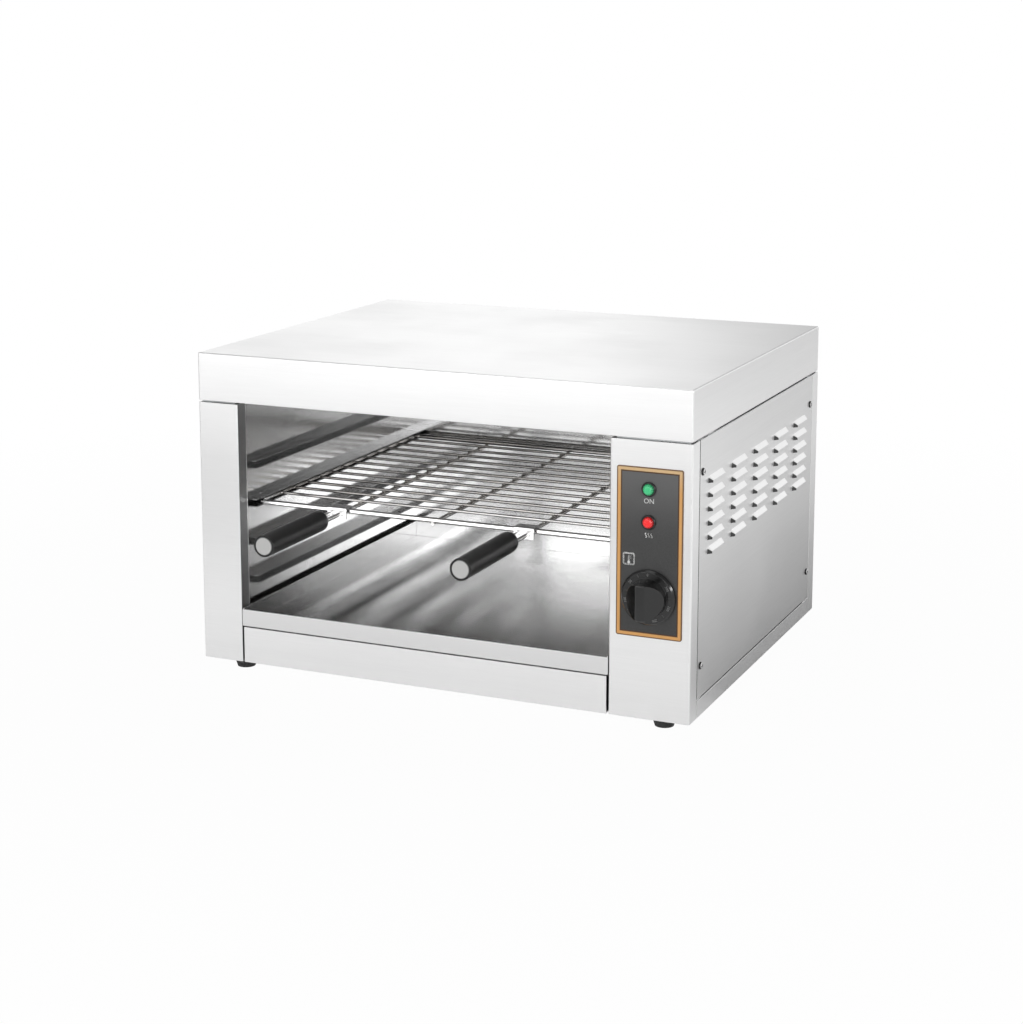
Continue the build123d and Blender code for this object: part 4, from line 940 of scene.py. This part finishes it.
class Workshop:
    """Turns small meshes into placed pieces of the object."""

    @staticmethod
    def add(joined: bmesh.types.BMesh, part: bmesh.types.BMesh,
            place: Matrix | None = None) -> None:
        """Adds a part to a mesh.

        Args:
            joined: the mesh that grows.
            part: the part, which is used up.
            place: where it goes, if it isn't in place yet.
        """
        if place is not None:
            bmesh.ops.transform(part, matrix=place, verts=part.verts)
        mesh = bpy.data.meshes.new("part")
        part.to_mesh(mesh)
        part.free()
        joined.from_mesh(mesh)
        bpy.data.meshes.remove(mesh)

    @staticmethod
    def turned(profile: list[Pair], steps: int) -> bmesh.types.BMesh:
        """Turns a profile round the Z axis.

        Args:
            profile: radius and height of its points, in mm.
            steps: how many faces go round.

        Returns:
            The closed shape, in mm.
        """
        shape = bmesh.new()
        points = [shape.verts.new((radius, 0.0, height)) for radius, height in profile]
        edges = [shape.edges.new(pair) for pair in zip(points, points[1:])]
        bmesh.ops.spin(shape, geom=points + edges, cent=(0, 0, 0), axis=(0, 0, 1),
                       angle=2 * math.pi, steps=steps, use_merge=True)
        bmesh.ops.remove_doubles(shape, verts=shape.verts, dist=1e-4)
        bmesh.ops.recalc_face_normals(shape, faces=shape.faces)
        return shape

    @staticmethod
    def repeated(pattern: bmesh.types.BMesh, places: list[Matrix]) -> bmesh.types.BMesh:
        """Copies one small shape to many places.

        Args:
            pattern: the shape, which is used up.
            places: where each copy goes.

        Returns:
            All copies in one mesh.
        """
        master = bpy.data.meshes.new("pattern")
        pattern.to_mesh(master)
        pattern.free()
        joined = bmesh.new()
        for place in places:
            before = len(joined.verts)
            joined.from_mesh(master)
            joined.verts.ensure_lookup_table()
            bmesh.ops.transform(joined, matrix=place, verts=joined.verts[before:])
        bpy.data.meshes.remove(master)
        return joined

    @staticmethod
    def piece(shape: bmesh.types.BMesh, name: str, material: bpy.types.Material, slot: str,
              body: Body, sharp: float = 35.0) -> bpy.types.Object:
        """Makes a piece from a finished mesh.

        Args:
            shape: the mesh in metres, in place, which is used up.
            name: the piece's name.
            material: its finish.
            slot: the record's slot that the finish belongs to; not used.
            body: the body that it rides on.
            sharp: the angle in degrees past which an edge stays sharp.

        Returns:
            The new object.
        """
        bmesh.ops.remove_doubles(shape, verts=shape.verts, dist=1e-7)
        bmesh.ops.recalc_face_normals(shape, faces=shape.faces)
        for face in shape.faces:
            face.smooth = True
        for edge in shape.edges:
            edge.smooth = edge.is_manifold and edge.calc_face_angle(0.0) < math.radians(sharp)
        mesh = bpy.data.meshes.new(name)
        shape.to_mesh(mesh)
        shape.free()
        mesh.materials.append(material)
        made = put_in_scene(name, mesh)
        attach(made, body.value)
        LOG.info("piece %s: %d faces on %s", name, len(mesh.polygons), body.value)
        return made

    @staticmethod
    def lettering(text: str, height: float, depth: float) -> bmesh.types.BMesh:
        """Makes plain raised figures, centred, that face up.

        Args:
            text: what is written.
            height: the height of a capital, in metres.
            depth: how thick the figures are, in metres.

        Returns:
            The figures as a mesh, with their middle at the origin.
        """
        capital = 0.7
        curve = bpy.data.curves.new("figures", "FONT")
        curve.body = text
        curve.size = height / capital
        curve.align_x = curve.align_y = "CENTER"
        curve.extrude = depth / 2
        curve.resolution_u = 3
        holder = put_in_scene("figures", curve)
        mesh = bpy.data.meshes.new_from_object(holder)
        shape = bmesh.new()
        shape.from_mesh(mesh)
        bpy.data.objects.remove(holder)
        bpy.data.curves.remove(curve)
        bpy.data.meshes.remove(mesh)
        return shape

    @staticmethod
    def ribbon(points: list[Pair], width: float, depth: float) -> bmesh.types.BMesh:
        """Makes a flat ribbon of even width along a path, facing up.

        Args:
            points: the path's places, in metres.
            width: how wide it is.
            depth: how thick it is.

        Returns:
            The ribbon as a closed mesh.
        """
        shape = bmesh.new()
        path = [shape.verts.new((x - width / 2, y, 0.0)) for x, y in points]
        edges = [shape.edges.new(pair) for pair in zip(path, path[1:])]
        grown = bmesh.ops.extrude_edge_only(shape, edges=edges)["geom"]
        side = [part for part in grown if isinstance(part, bmesh.types.BMVert)]
        bmesh.ops.translate(shape, vec=(width, 0.0, 0.0), verts=side)
        bmesh.ops.solidify(shape, geom=shape.faces[:], thickness=depth)
        return shape


def facing_front(x: float, y: float, z: float) -> Matrix:
    """Gives the place of a mark that faces up, set upright so that it faces the front.

    Args:
        x: its middle, in mm.
        y: how far back it is, in mm.
        z: its height, in mm.

    Returns:
        The matrix that puts it there.
    """
    return Matrix.Translation(Vector((x, y, z)) * MM) @ Matrix.Rotation(math.pi / 2, 4, "X")


# ---------------------------------------------------------------- sub-assemblies


@dataclass
class Fasteners:
    """The cross-recess pan-head screws of the side cover and the back."""

    head_radius: float = 3.5
    head_height: float = 2.0
    shank_radius: float = 2.0
    cover_tail: float = 5.8
    recess_width: float = 0.85
    recess_length: float = 3.9
    recess_depth: float = 1.15
    cover_face: float = 250.0
    cover_ys: Pair = (-121.0, 223.0)
    cover_zs: Pair = (59.0, 236.5)
    back_face: float = 251.0
    back_xs: Pair = (-239.0, 239.0)
    back_zs: Pair = (47.0, 231.0)
    above_seat: float = 0.2
    first_turn: float = 17.0
    turn_step: float = 37.0

    def screw(self) -> bmesh.types.BMesh:
        """Makes one screw that stands on the origin and looks up.

        Returns:
            The screw, in mm.
        """
        r, h = self.head_radius, self.head_height
        profile = [(0.0, h), (0.4 * r, 0.98 * h), (0.66 * r, 0.86 * h), (0.86 * r, 0.60 * h),
                   (0.97 * r, 0.30 * h), (r, 0.0), (self.shank_radius, 0.0),
                   (self.shank_radius, 0.3 - self.cover_tail), (0.0, -self.cover_tail)]
        shape = Workshop.turned(profile, 24)
        half, reach = self.recess_width / 2, self.recess_length / 2
        for axis in ((1, 0, 0), (0, 1, 0)):
            for shift in (-reach, -half, half, reach):
                faces = [face for face in shape.faces
                         if face.calc_center_median().z > self.above_seat]
                edges = {edge for face in faces for edge in face.edges}
                verts = {vert for face in faces for vert in face.verts}
                bmesh.ops.bisect_plane(shape, geom=[*verts, *edges, *faces], dist=1e-5,
                                       plane_co=Vector(axis) * shift, plane_no=axis)
        cross = []
        for face in shape.faces:
            middle = face.calc_center_median()
            x, y = abs(middle.x), abs(middle.y)
            if middle.z > self.above_seat and min(x, y) < half and max(x, y) < reach:
                cross.append(face)
        bmesh.ops.inset_region(shape, faces=cross, thickness=0.1, depth=-self.recess_depth,
                               use_even_offset=True, use_boundary=True)
        return shape

    def places(self) -> list[Matrix]:
        """Says where each screw sits, each turned its own way.

        Returns:
            The matrices, which also bring mm to metres.
        """
        seats: list[tuple[Side, Place]] = []
        for z in self.cover_zs:
            seats += [(Side.RIGHT, (self.cover_face, y, z)) for y in self.cover_ys]
        for z in self.back_zs:
            seats += [(Side.BACK, (x, self.back_face, z)) for x in self.back_xs]
        turns = {Side.RIGHT: Matrix.Rotation(math.pi / 2, 4, "Y"),
                 Side.BACK: Matrix.Rotation(-math.pi / 2, 4, "X")}
        found = []
        for count, (side, seat) in enumerate(seats):
            angle = self.first_turn + self.turn_step * count
            spin = Matrix.Rotation(math.radians(angle), 4, "Z")
            found.append(Matrix.Scale(MM, 4) @ Matrix.Translation(seat) @ turns[side] @ spin)
        return found

    def build(self, finishes: FinishBook) -> None:
        """Makes the screws in place of the plain ones.

        Args:
            finishes: the object's finishes.
        """
        shape = Workshop.repeated(self.screw(), self.places())
        made = Workshop.piece(shape, "recessed_screws", finishes.materials["screw_steel"],
                              "screw_steel", Body.CABINET)
        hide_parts("panel_screws")


@dataclass
class RackWelds:
    """The resistance welds of the wire rack and of its two handles."""

    rod_xs: Pair = (-203.5, 169.5)
    rod_radius: float = 2.5
    cross_first: float = -78.0
    cross_pitch: float = 25.4
    cross_count: int = 12
    level: float = 165.8
    support_xs: tuple[float, ...] = (-114.0, -17.0, 80.0)
    support_level: float = 162.2
    end_ys: Pair = (-116.9, 220.9)
    end_rise: float = 0.6
    support_drop: float = 0.1
    handle_xs: Pair = (-114.0, 80.0)
    handle_half_gap: float = 5.0
    handle_level: float = 164.4
    bracket_front: float = -126.0
    rod_weld: Place = (1.3, 2.1, 1.9)
    support_weld: Place = (2.3, 1.9, 1.1)
    end_weld: Place = (2.3, 1.2, 1.9)
    handle_weld: Place = (2.7, 0.9, 2.7)
    smooth_angle: float = 60.0

    def spots(self) -> list[tuple[Place, Place]]:
        """Lists the welds.

        Returns:
            The middle and the half sizes of each, in mm.
        """
        middle = (self.level + self.support_level) / 2 - self.support_drop
        end_level = self.support_level + self.end_rise
        found: list[tuple[Place, Place]] = []
        for count in range(self.cross_count):
            y = self.cross_first + self.cross_pitch * count
            found += [((rod + inward * self.rod_radius, y, self.level), self.rod_weld)
                      for rod, inward in zip(self.rod_xs, (1, -1))]
            found += [((x, y, middle), self.support_weld) for x in self.support_xs]
        found += [((x, y, end_level), self.end_weld)
                  for x in self.support_xs for y in self.end_ys]
        found += [((x + shift, self.bracket_front, self.handle_level), self.handle_weld)
                  for x in self.handle_xs
                  for shift in (-self.handle_half_gap, self.handle_half_gap)]
        return found

    def build(self, finishes: FinishBook) -> None:
        """Makes all welds as one piece.

        Args:
            finishes: the object's finishes.
        """
        bead = bmesh.new()
        bmesh.ops.create_icosphere(bead, subdivisions=2, radius=1.0)
        places = []
        for middle, half in self.spots():
            size = Matrix.Diagonal((*half, 1.0))
            places.append(Matrix.Scale(MM, 4) @ Matrix.Translation(middle) @ size)
        Workshop.piece(Workshop.repeated(bead, places), "rack_welds",
                       finishes.materials["chromed_wire"], "chromed_wire", Body.RACK,
                       self.smooth_angle)


@dataclass
class DialMarks:
    """Figures and ticks printed on the turning skirt of the knob."""

    centre: Pair = (211.0, 125.4)
    face: float = -154.0
    figure_radius: float = 21.0
    figure_height: float = 2.3
    tick_radii: Pair = (19.6, 22.4)
    tick_width: float = 0.45
    thickness: float = 0.12
    top: int = 300
    step: int = 50

    def _round(self, degrees: float) -> Matrix:
        """Gives the turn round the knob's axis, counted clockwise from the top."""
        x, z = self.centre
        hub = Vector((x, self.face, z)) * MM
        turn = Matrix.Rotation(math.radians(degrees), 4, "Y")
        return Matrix.Translation(hub) @ turn @ Matrix.Rotation(math.pi / 2, 4, "X")

    def build(self, finishes: FinishBook) -> None:
        """Makes the figures and ticks.

        Args:
            finishes: the object's finishes.
        """
        joined = bmesh.new()
        for value in range(0, self.top + 1, self.step):
            figure = Workshop.lettering(str(value), self.figure_height * MM, self.thickness * MM)
            lift = Matrix.Translation((0.0, self.figure_radius * MM, 0.0))
            Workshop.add(joined, figure, self._round(-value) @ lift)
            if value < self.top:
                reach = [(0.0, radius * MM) for radius in self.tick_radii]
                tick = Workshop.ribbon(reach, self.tick_width * MM, self.thickness * MM)
                Workshop.add(joined, tick, self._round(-value - self.step / 2))
        Workshop.piece(joined, "dial_marks", finishes.dial_ink, "panel_print", Body.KNOB)


@dataclass
class ControlPanel:
    """The marks printed on the control panel under the lamps and above the knob."""

    face: float = -149.8
    thickness: float = 0.12
    ink_width: float = 1.45
    on_place: Pair = (210.2, 212.1)
    on_height: float = 4.4
    heat_place: Pair = (210.2, 181.4)
    wave_height: float = 4.4
    wave_gap: float = 2.6
    wave_sway: float = 0.55
    wave_steps: int = 12
    symbol_place: Pair = (191.8, 158.5)
    symbol_size: float = 11.4
    symbol_corner: float = 1.9
    stem_reach: float = 0.28
    bulb_radius: float = 1.35
    dash_x: float = 1.9
    dash_spans: tuple[Pair, ...] = ((0.1, 0.6), (1.3, 1.8), (2.5, 3.0))

    def stroke(self, points: list[Pair], share: float = 1.0) -> bmesh.types.BMesh:
        """Draws one stroke of ink.

        Args:
            points: its path, in mm.
            share: its width as a share of the ink's usual width.

        Returns:
            The stroke, facing up.
        """
        path = [(x * MM, y * MM) for x, y in points]
        return Workshop.ribbon(path, self.ink_width * share * MM, self.thickness * MM)

    def outline(self) -> bmesh.types.BMesh:
        """Makes the rounded square that goes round the thermometer.

        Returns:
            The ring, facing up.
        """
        shape = bmesh.new()
        bmesh.ops.create_grid(shape, x_segments=1, y_segments=1, size=self.symbol_size / 2 * MM)
        bmesh.ops.bevel(shape, geom=shape.verts[:], offset=self.symbol_corner * MM, segments=5,
                        profile=0.5, affect="VERTICES", material=-1)
        middle = shape.faces[:]
        bmesh.ops.inset_region(shape, faces=middle, thickness=self.ink_width * MM,
                               use_boundary=True, use_even_offset=True)
        bmesh.ops.delete(shape, geom=middle, context="FACES_ONLY")
        bmesh.ops.solidify(shape, geom=shape.faces[:], thickness=self.thickness * MM)
        return shape

    def thermometer(self) -> bmesh.types.BMesh:
        """Makes the thermometer's stem and bulb.

        Returns:
            The figure, facing up.
        """
        tall, radius = self.symbol_size * self.stem_reach, self.bulb_radius * MM
        shape = self.stroke([(0.0, -tall), (0.0, tall)])
        bulb = bmesh.new()
        bmesh.ops.create_cone(bulb, cap_ends=True, segments=20, radius1=radius, radius2=radius,
                              depth=self.thickness * MM)
        Workshop.add(shape, bulb, Matrix.Translation((0.0, -tall * MM, 0.0)))
        for span in self.dash_spans:
            Workshop.add(shape, self.stroke([(self.dash_x, y) for y in span], 0.6))
        return shape

    def waves(self) -> bmesh.types.BMesh:
        """Makes three rising waves, the plain sign for heat.

        Returns:
            The figure, facing up.
        """
        shape = bmesh.new()
        for count in (-1, 0, 1):
            path = []
            for step in range(self.wave_steps + 1):
                share = step / self.wave_steps
                sway = self.wave_sway * math.sin(2 * math.pi * share)
                path.append((count * self.wave_gap + sway, (share - 0.5) * self.wave_height))
            Workshop.add(shape, self.stroke(path, 0.8))
        return shape

    def build(self, finishes: FinishBook) -> None:
        """Makes all marks of the panel.

        Args:
            finishes: the object's finishes.
        """
        symbol = self.outline()
        Workshop.add(symbol, self.thermometer())
        marks = {
            Mark.WORD_ON: (Workshop.lettering("ON", self.on_height * MM, self.thickness * MM),
                           self.on_place),
            Mark.HEAT: (self.waves(), self.heat_place),
            Mark.THERMOMETER: (symbol, self.symbol_place),
        }
        for mark, (shape, (x, z)) in marks.items():
            bmesh.ops.transform(shape, matrix=facing_front(x, self.face, z), verts=shape.verts)
            Workshop.piece(shape, f"panel_mark_{mark.value}", finishes.ink, "panel_print",
                           Body.CABINET)


# ---------------------------------------------------------------- studio


@dataclass
class Studio:
    """Floor, light and camera round the object.

    The rooms give the tones that steel mirrors by the degrees round the object, and the floors
    by the metres from it. A lamp has its name, place, side and power, and a lamp of the mouth its
    lower and upper height and its power.
    """

    floor_reach: float = 60.0
    floor_colour: Colour = (0.80, 0.80, 0.80)
    floor_roughness: float = 0.9
    floor_gloss: float = 0.1
    near_white: float = 0.97
    whiter_from: Pair = (0.3, 1.3)
    ambient: float = 0.04
    object_front: float = -0.149
    object_right: float = 0.25
    mirror_scale: float = 3.0
    low_room: tuple[Pair, ...] = (
        (-180, 0.0), (-157, 0.08), (-130, 0.05), (-95, 0.15), (-60, 0.15), (-32, 0.395),
        (-22, 0.463), (-12, 0.097), (12, 0.30), (45, 0.56), (95, 0.30), (130, 0.22),
        (157, 0.23), (180, 0.0))
    high_room: tuple[Pair, ...] = (
        (-180, 0.0), (-120, 0.08), (-50, 0.115), (20, 0.2), (90, 0.12), (145, 0.08), (180, 0.0))
    room_levels: Pair = (0.18, 0.60)
    front_floor: tuple[Pair, ...] = ((0.02, 0.128), (0.25, 0.178), (0.8, 0.0), (1.6, 0.285))
    side_floor: tuple[Pair, ...] = ((0.03, 0.01), (0.15, 0.096), (0.35, 0.31), (0.8, 0.34))
    back_floor: tuple[Pair, ...] = ((0.03, 0.03), (0.15, 0.0), (0.35, 0.25), (0.8, 0.15))
    back_floor_ys: Pair = (0.1, 1.4)
    left_floor: float = 0.05
    camera_place: Place = (0.819, -1.8377, 0.6419)
    camera_turn: Place = (80.41, 0.0, 23.69)
    lens: float = 73.59
    camera_rise: float = -0.15
    camera_reach: Pair = (0.01, 200.0)
    mirror_bounces: int = 10
    lamp_aim: Place = (0.0, 0.05, 0.15)
    lamps: tuple[tuple[str, Place, float, float], ...] = (
        ("key", (-1.2, -2.5, 1.15), 2.4, 19.0),
        ("front", (1.2, -2.6, 0.85), 1.8, 20.0),
        ("overhead", (-0.2, 0.2, 2.6), 2.4, 17.5),
        ("glint left", (-1.0, -2.4, 1.3), 0.4, 3.5),
        ("glint right", (2.4, -1.1, 0.9), 0.4, 6.0),
    )
    mouth_span: Pair = (-0.205, 0.171)
    mouth_lamps: tuple[Place, ...] = (
        (0.066, 0.100, 0.02), (0.135, 0.175, 0.085), (0.175, 0.215, 0.03))
    chamber_lamp: float = 0.01
    chamber_top: Pair = (0.04, 0.262)
    chamber_length: float = 0.30

    def floor_mirrored(self, graph: Graph, place: Socket) -> Socket:
        """Says how bright the floor glows in mirroring steel alone: painted light, with a painted
        shadow darker close to the object.

        Args:
            graph: the graph that gets the nodes.
            place: the floor's coordinates.

        Returns:
            The tone's socket.
        """
        x, y, _ = graph.split(place)
        ahead = graph.math("SUBTRACT", self.object_front, y)
        beside = graph.math("SUBTRACT", x, self.object_right)
        front = graph.tones(ahead, self.front_floor)
        near, far = (graph.tones(beside, stops) for stops in (self.side_floor, self.back_floor))
        side = graph.blend(graph.remap(y, *self.back_floor_ys), near, far)
        behind = graph.blend(graph.remap(beside, -0.2, 0.0), grey(self.left_floor), side)
        return graph.blend(graph.remap(ahead, -0.15, 0.0), behind, front)

    def lay_floor(self) -> None:
        """Lays the pale floor, which looks white from afar and keeps the shadow."""
        shape = bmesh.new()
        bmesh.ops.create_grid(shape, x_segments=1, y_segments=1, size=self.floor_reach)
        mesh = bpy.data.meshes.new("floor")
        shape.to_mesh(mesh)
        shape.free()
        blank = Blank("studio floor", 0.0, None)
        blank.set(Base_Color=self.floor_colour, Roughness=self.floor_roughness,
                  Specular_IOR_Level=self.floor_gloss)
        graph = blank.graph
        by_camera, mirrored = graph.rays()
        # painted light and shadow: a glow that only mirroring rays see, darker close to the object
        shine = graph.node("ShaderNodeEmission", {
            0: self.floor_mirrored(graph, blank.place),
            1: graph.math("MULTIPLY", mirrored, self.mirror_scale)})
        lit = graph.node("ShaderNodeAddShader", {0: blank.shader.outputs[0],
                                                 1: shine.outputs[0]})
        away = graph.vector("LENGTH", blank.place, output="Value")
        seen = graph.math("MULTIPLY", by_camera,
                          graph.remap(away, *self.whiter_from, self.near_white, 1.0))
        white = graph.node("ShaderNodeEmission", {"Color": opaque(WHITE)})
        mixed = graph.node("ShaderNodeMixShader", {0: seen, 1: lit.outputs[0],
                                                   2: white.outputs[0]})
        graph.feed(graph.tree.nodes["Material Output"].inputs[0], mixed.outputs[0])
        blank.material.cycles.emission_sampling = "NONE"
        mesh.materials.append(blank.material)
        put_in_scene("floor", mesh)
        LOG.info("floor laid")

    def light_world(self) -> None:
        """Gives the room its soft even light and the plain walls that the steel mirrors."""
        world = bpy.data.worlds.new("studio room")
        world.use_nodes = True
        bpy.context.scene.world = world
        graph = Graph(world.node_tree)
        x, y, z = graph.split(graph.node("ShaderNodeTexCoord").outputs["Generated"])
        around = graph.math("DEGREES", graph.math("ARCTAN2", x, y))
        low, high = (graph.tones(around, stops) for stops in (self.low_room, self.high_room))
        walls = graph.blend(graph.remap(z, *self.room_levels), low, high)
        by_camera, mirrored = graph.rays()
        soft, shown, seen = (
            graph.node("ShaderNodeBackground", {0: colour, 1: strength}).outputs[0]
            for colour, strength in ((opaque(WHITE), self.ambient), (walls, self.mirror_scale),
                                     (opaque(WHITE), 1.0)))
        inside = graph.node("ShaderNodeMixShader", {0: mirrored, 1: soft, 2: shown})
        mixed = graph.node("ShaderNodeMixShader", {0: by_camera, 1: inside.outputs[0], 2: seen})
        graph.feed(world.node_tree.nodes["World Output"].inputs[0], mixed.outputs[0])
        LOG.info("room lit")

    @staticmethod
    def hang(name: str, place: Place, turn: Sequence[float], sides: Pair, power: float) -> None:
        """Hangs one soft lamp that cameras don't see.

        Args:
            name: its name.
            place: where it hangs.
            turn: how it is turned.
            sides: its width and length.
            power: its power in watts.
        """
        light = bpy.data.lights.new(name, "AREA")
        light.shape = "RECTANGLE"
        light.size, light.size_y = sides
        light.energy = power
        lamp = put_in_scene(name, light)
        lamp.location, lamp.rotation_euler = place, turn
        lamp.visible_camera = False
        LOG.info("lamp %s", name)

    def hang_lamps(self) -> None:
        """Hangs the wide soft lamps, all turned to the object's middle."""
        for name, place, side, power in self.lamps:
            ahead = Vector(self.lamp_aim) - Vector(place)
            turn = ahead.to_track_quat("-Z", "Y").to_euler()
            self.hang(name, place, turn, (side, side), power)

    def light_chamber(self) -> None:
        """Hangs strips of light in the chamber's mouth that only shine inwards, and one on top."""
        left, right = self.mouth_span
        middle, width = (left + right) / 2, right - left
        strips = [(self.object_front, (low + high) / 2, high - low, math.pi / 2, power)
                  for low, high, power in self.mouth_lamps]
        strips.append((*self.chamber_top, self.chamber_length, 0.0, self.chamber_lamp))
        for y, z, tall, tilt, power in strips:
            self.hang("chamber", (middle, y, z), (tilt, 0.0, 0.0), (width, tall), power)

    def place_camera(self) -> None:
        """Puts the camera at the photograph's viewing angle."""
        data = bpy.data.cameras.new("camera")
        data.lens = self.lens
        data.shift_y = self.camera_rise
        data.clip_start, data.clip_end = self.camera_reach
        camera = put_in_scene("camera", data)
        camera.location = self.camera_place
        camera.rotation_euler = [math.radians(angle) for angle in self.camera_turn]
        scene = bpy.context.scene
        scene.camera = camera
        scene.view_settings.view_transform = "Standard"
        scene.cycles.glossy_bounces = self.mirror_bounces
        LOG.info("camera placed")

    def build(self) -> None:
        """Builds the whole studio."""
        self.lay_floor()
        self.light_world()
        self.hang_lamps()
        self.light_chamber()
        self.place_camera()


def write_sizes() -> None:
    """Does nothing: no box is measured or written."""
    LOG.info("sizes written")


def main() -> None:
    """Dresses the CAD nodes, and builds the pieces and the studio."""
    logging.basicConfig(level=logging.INFO, format="%(message)s")
    finishes = FinishBook(SharedEffects())
    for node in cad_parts.values():
        finishes.dress(node)
    for group in (Fasteners(), RackWelds(), ControlPanel(), DialMarks()):
        group.build(finishes)
    Studio().build()
    write_sizes()


if __name__ == "__main__":
    main()
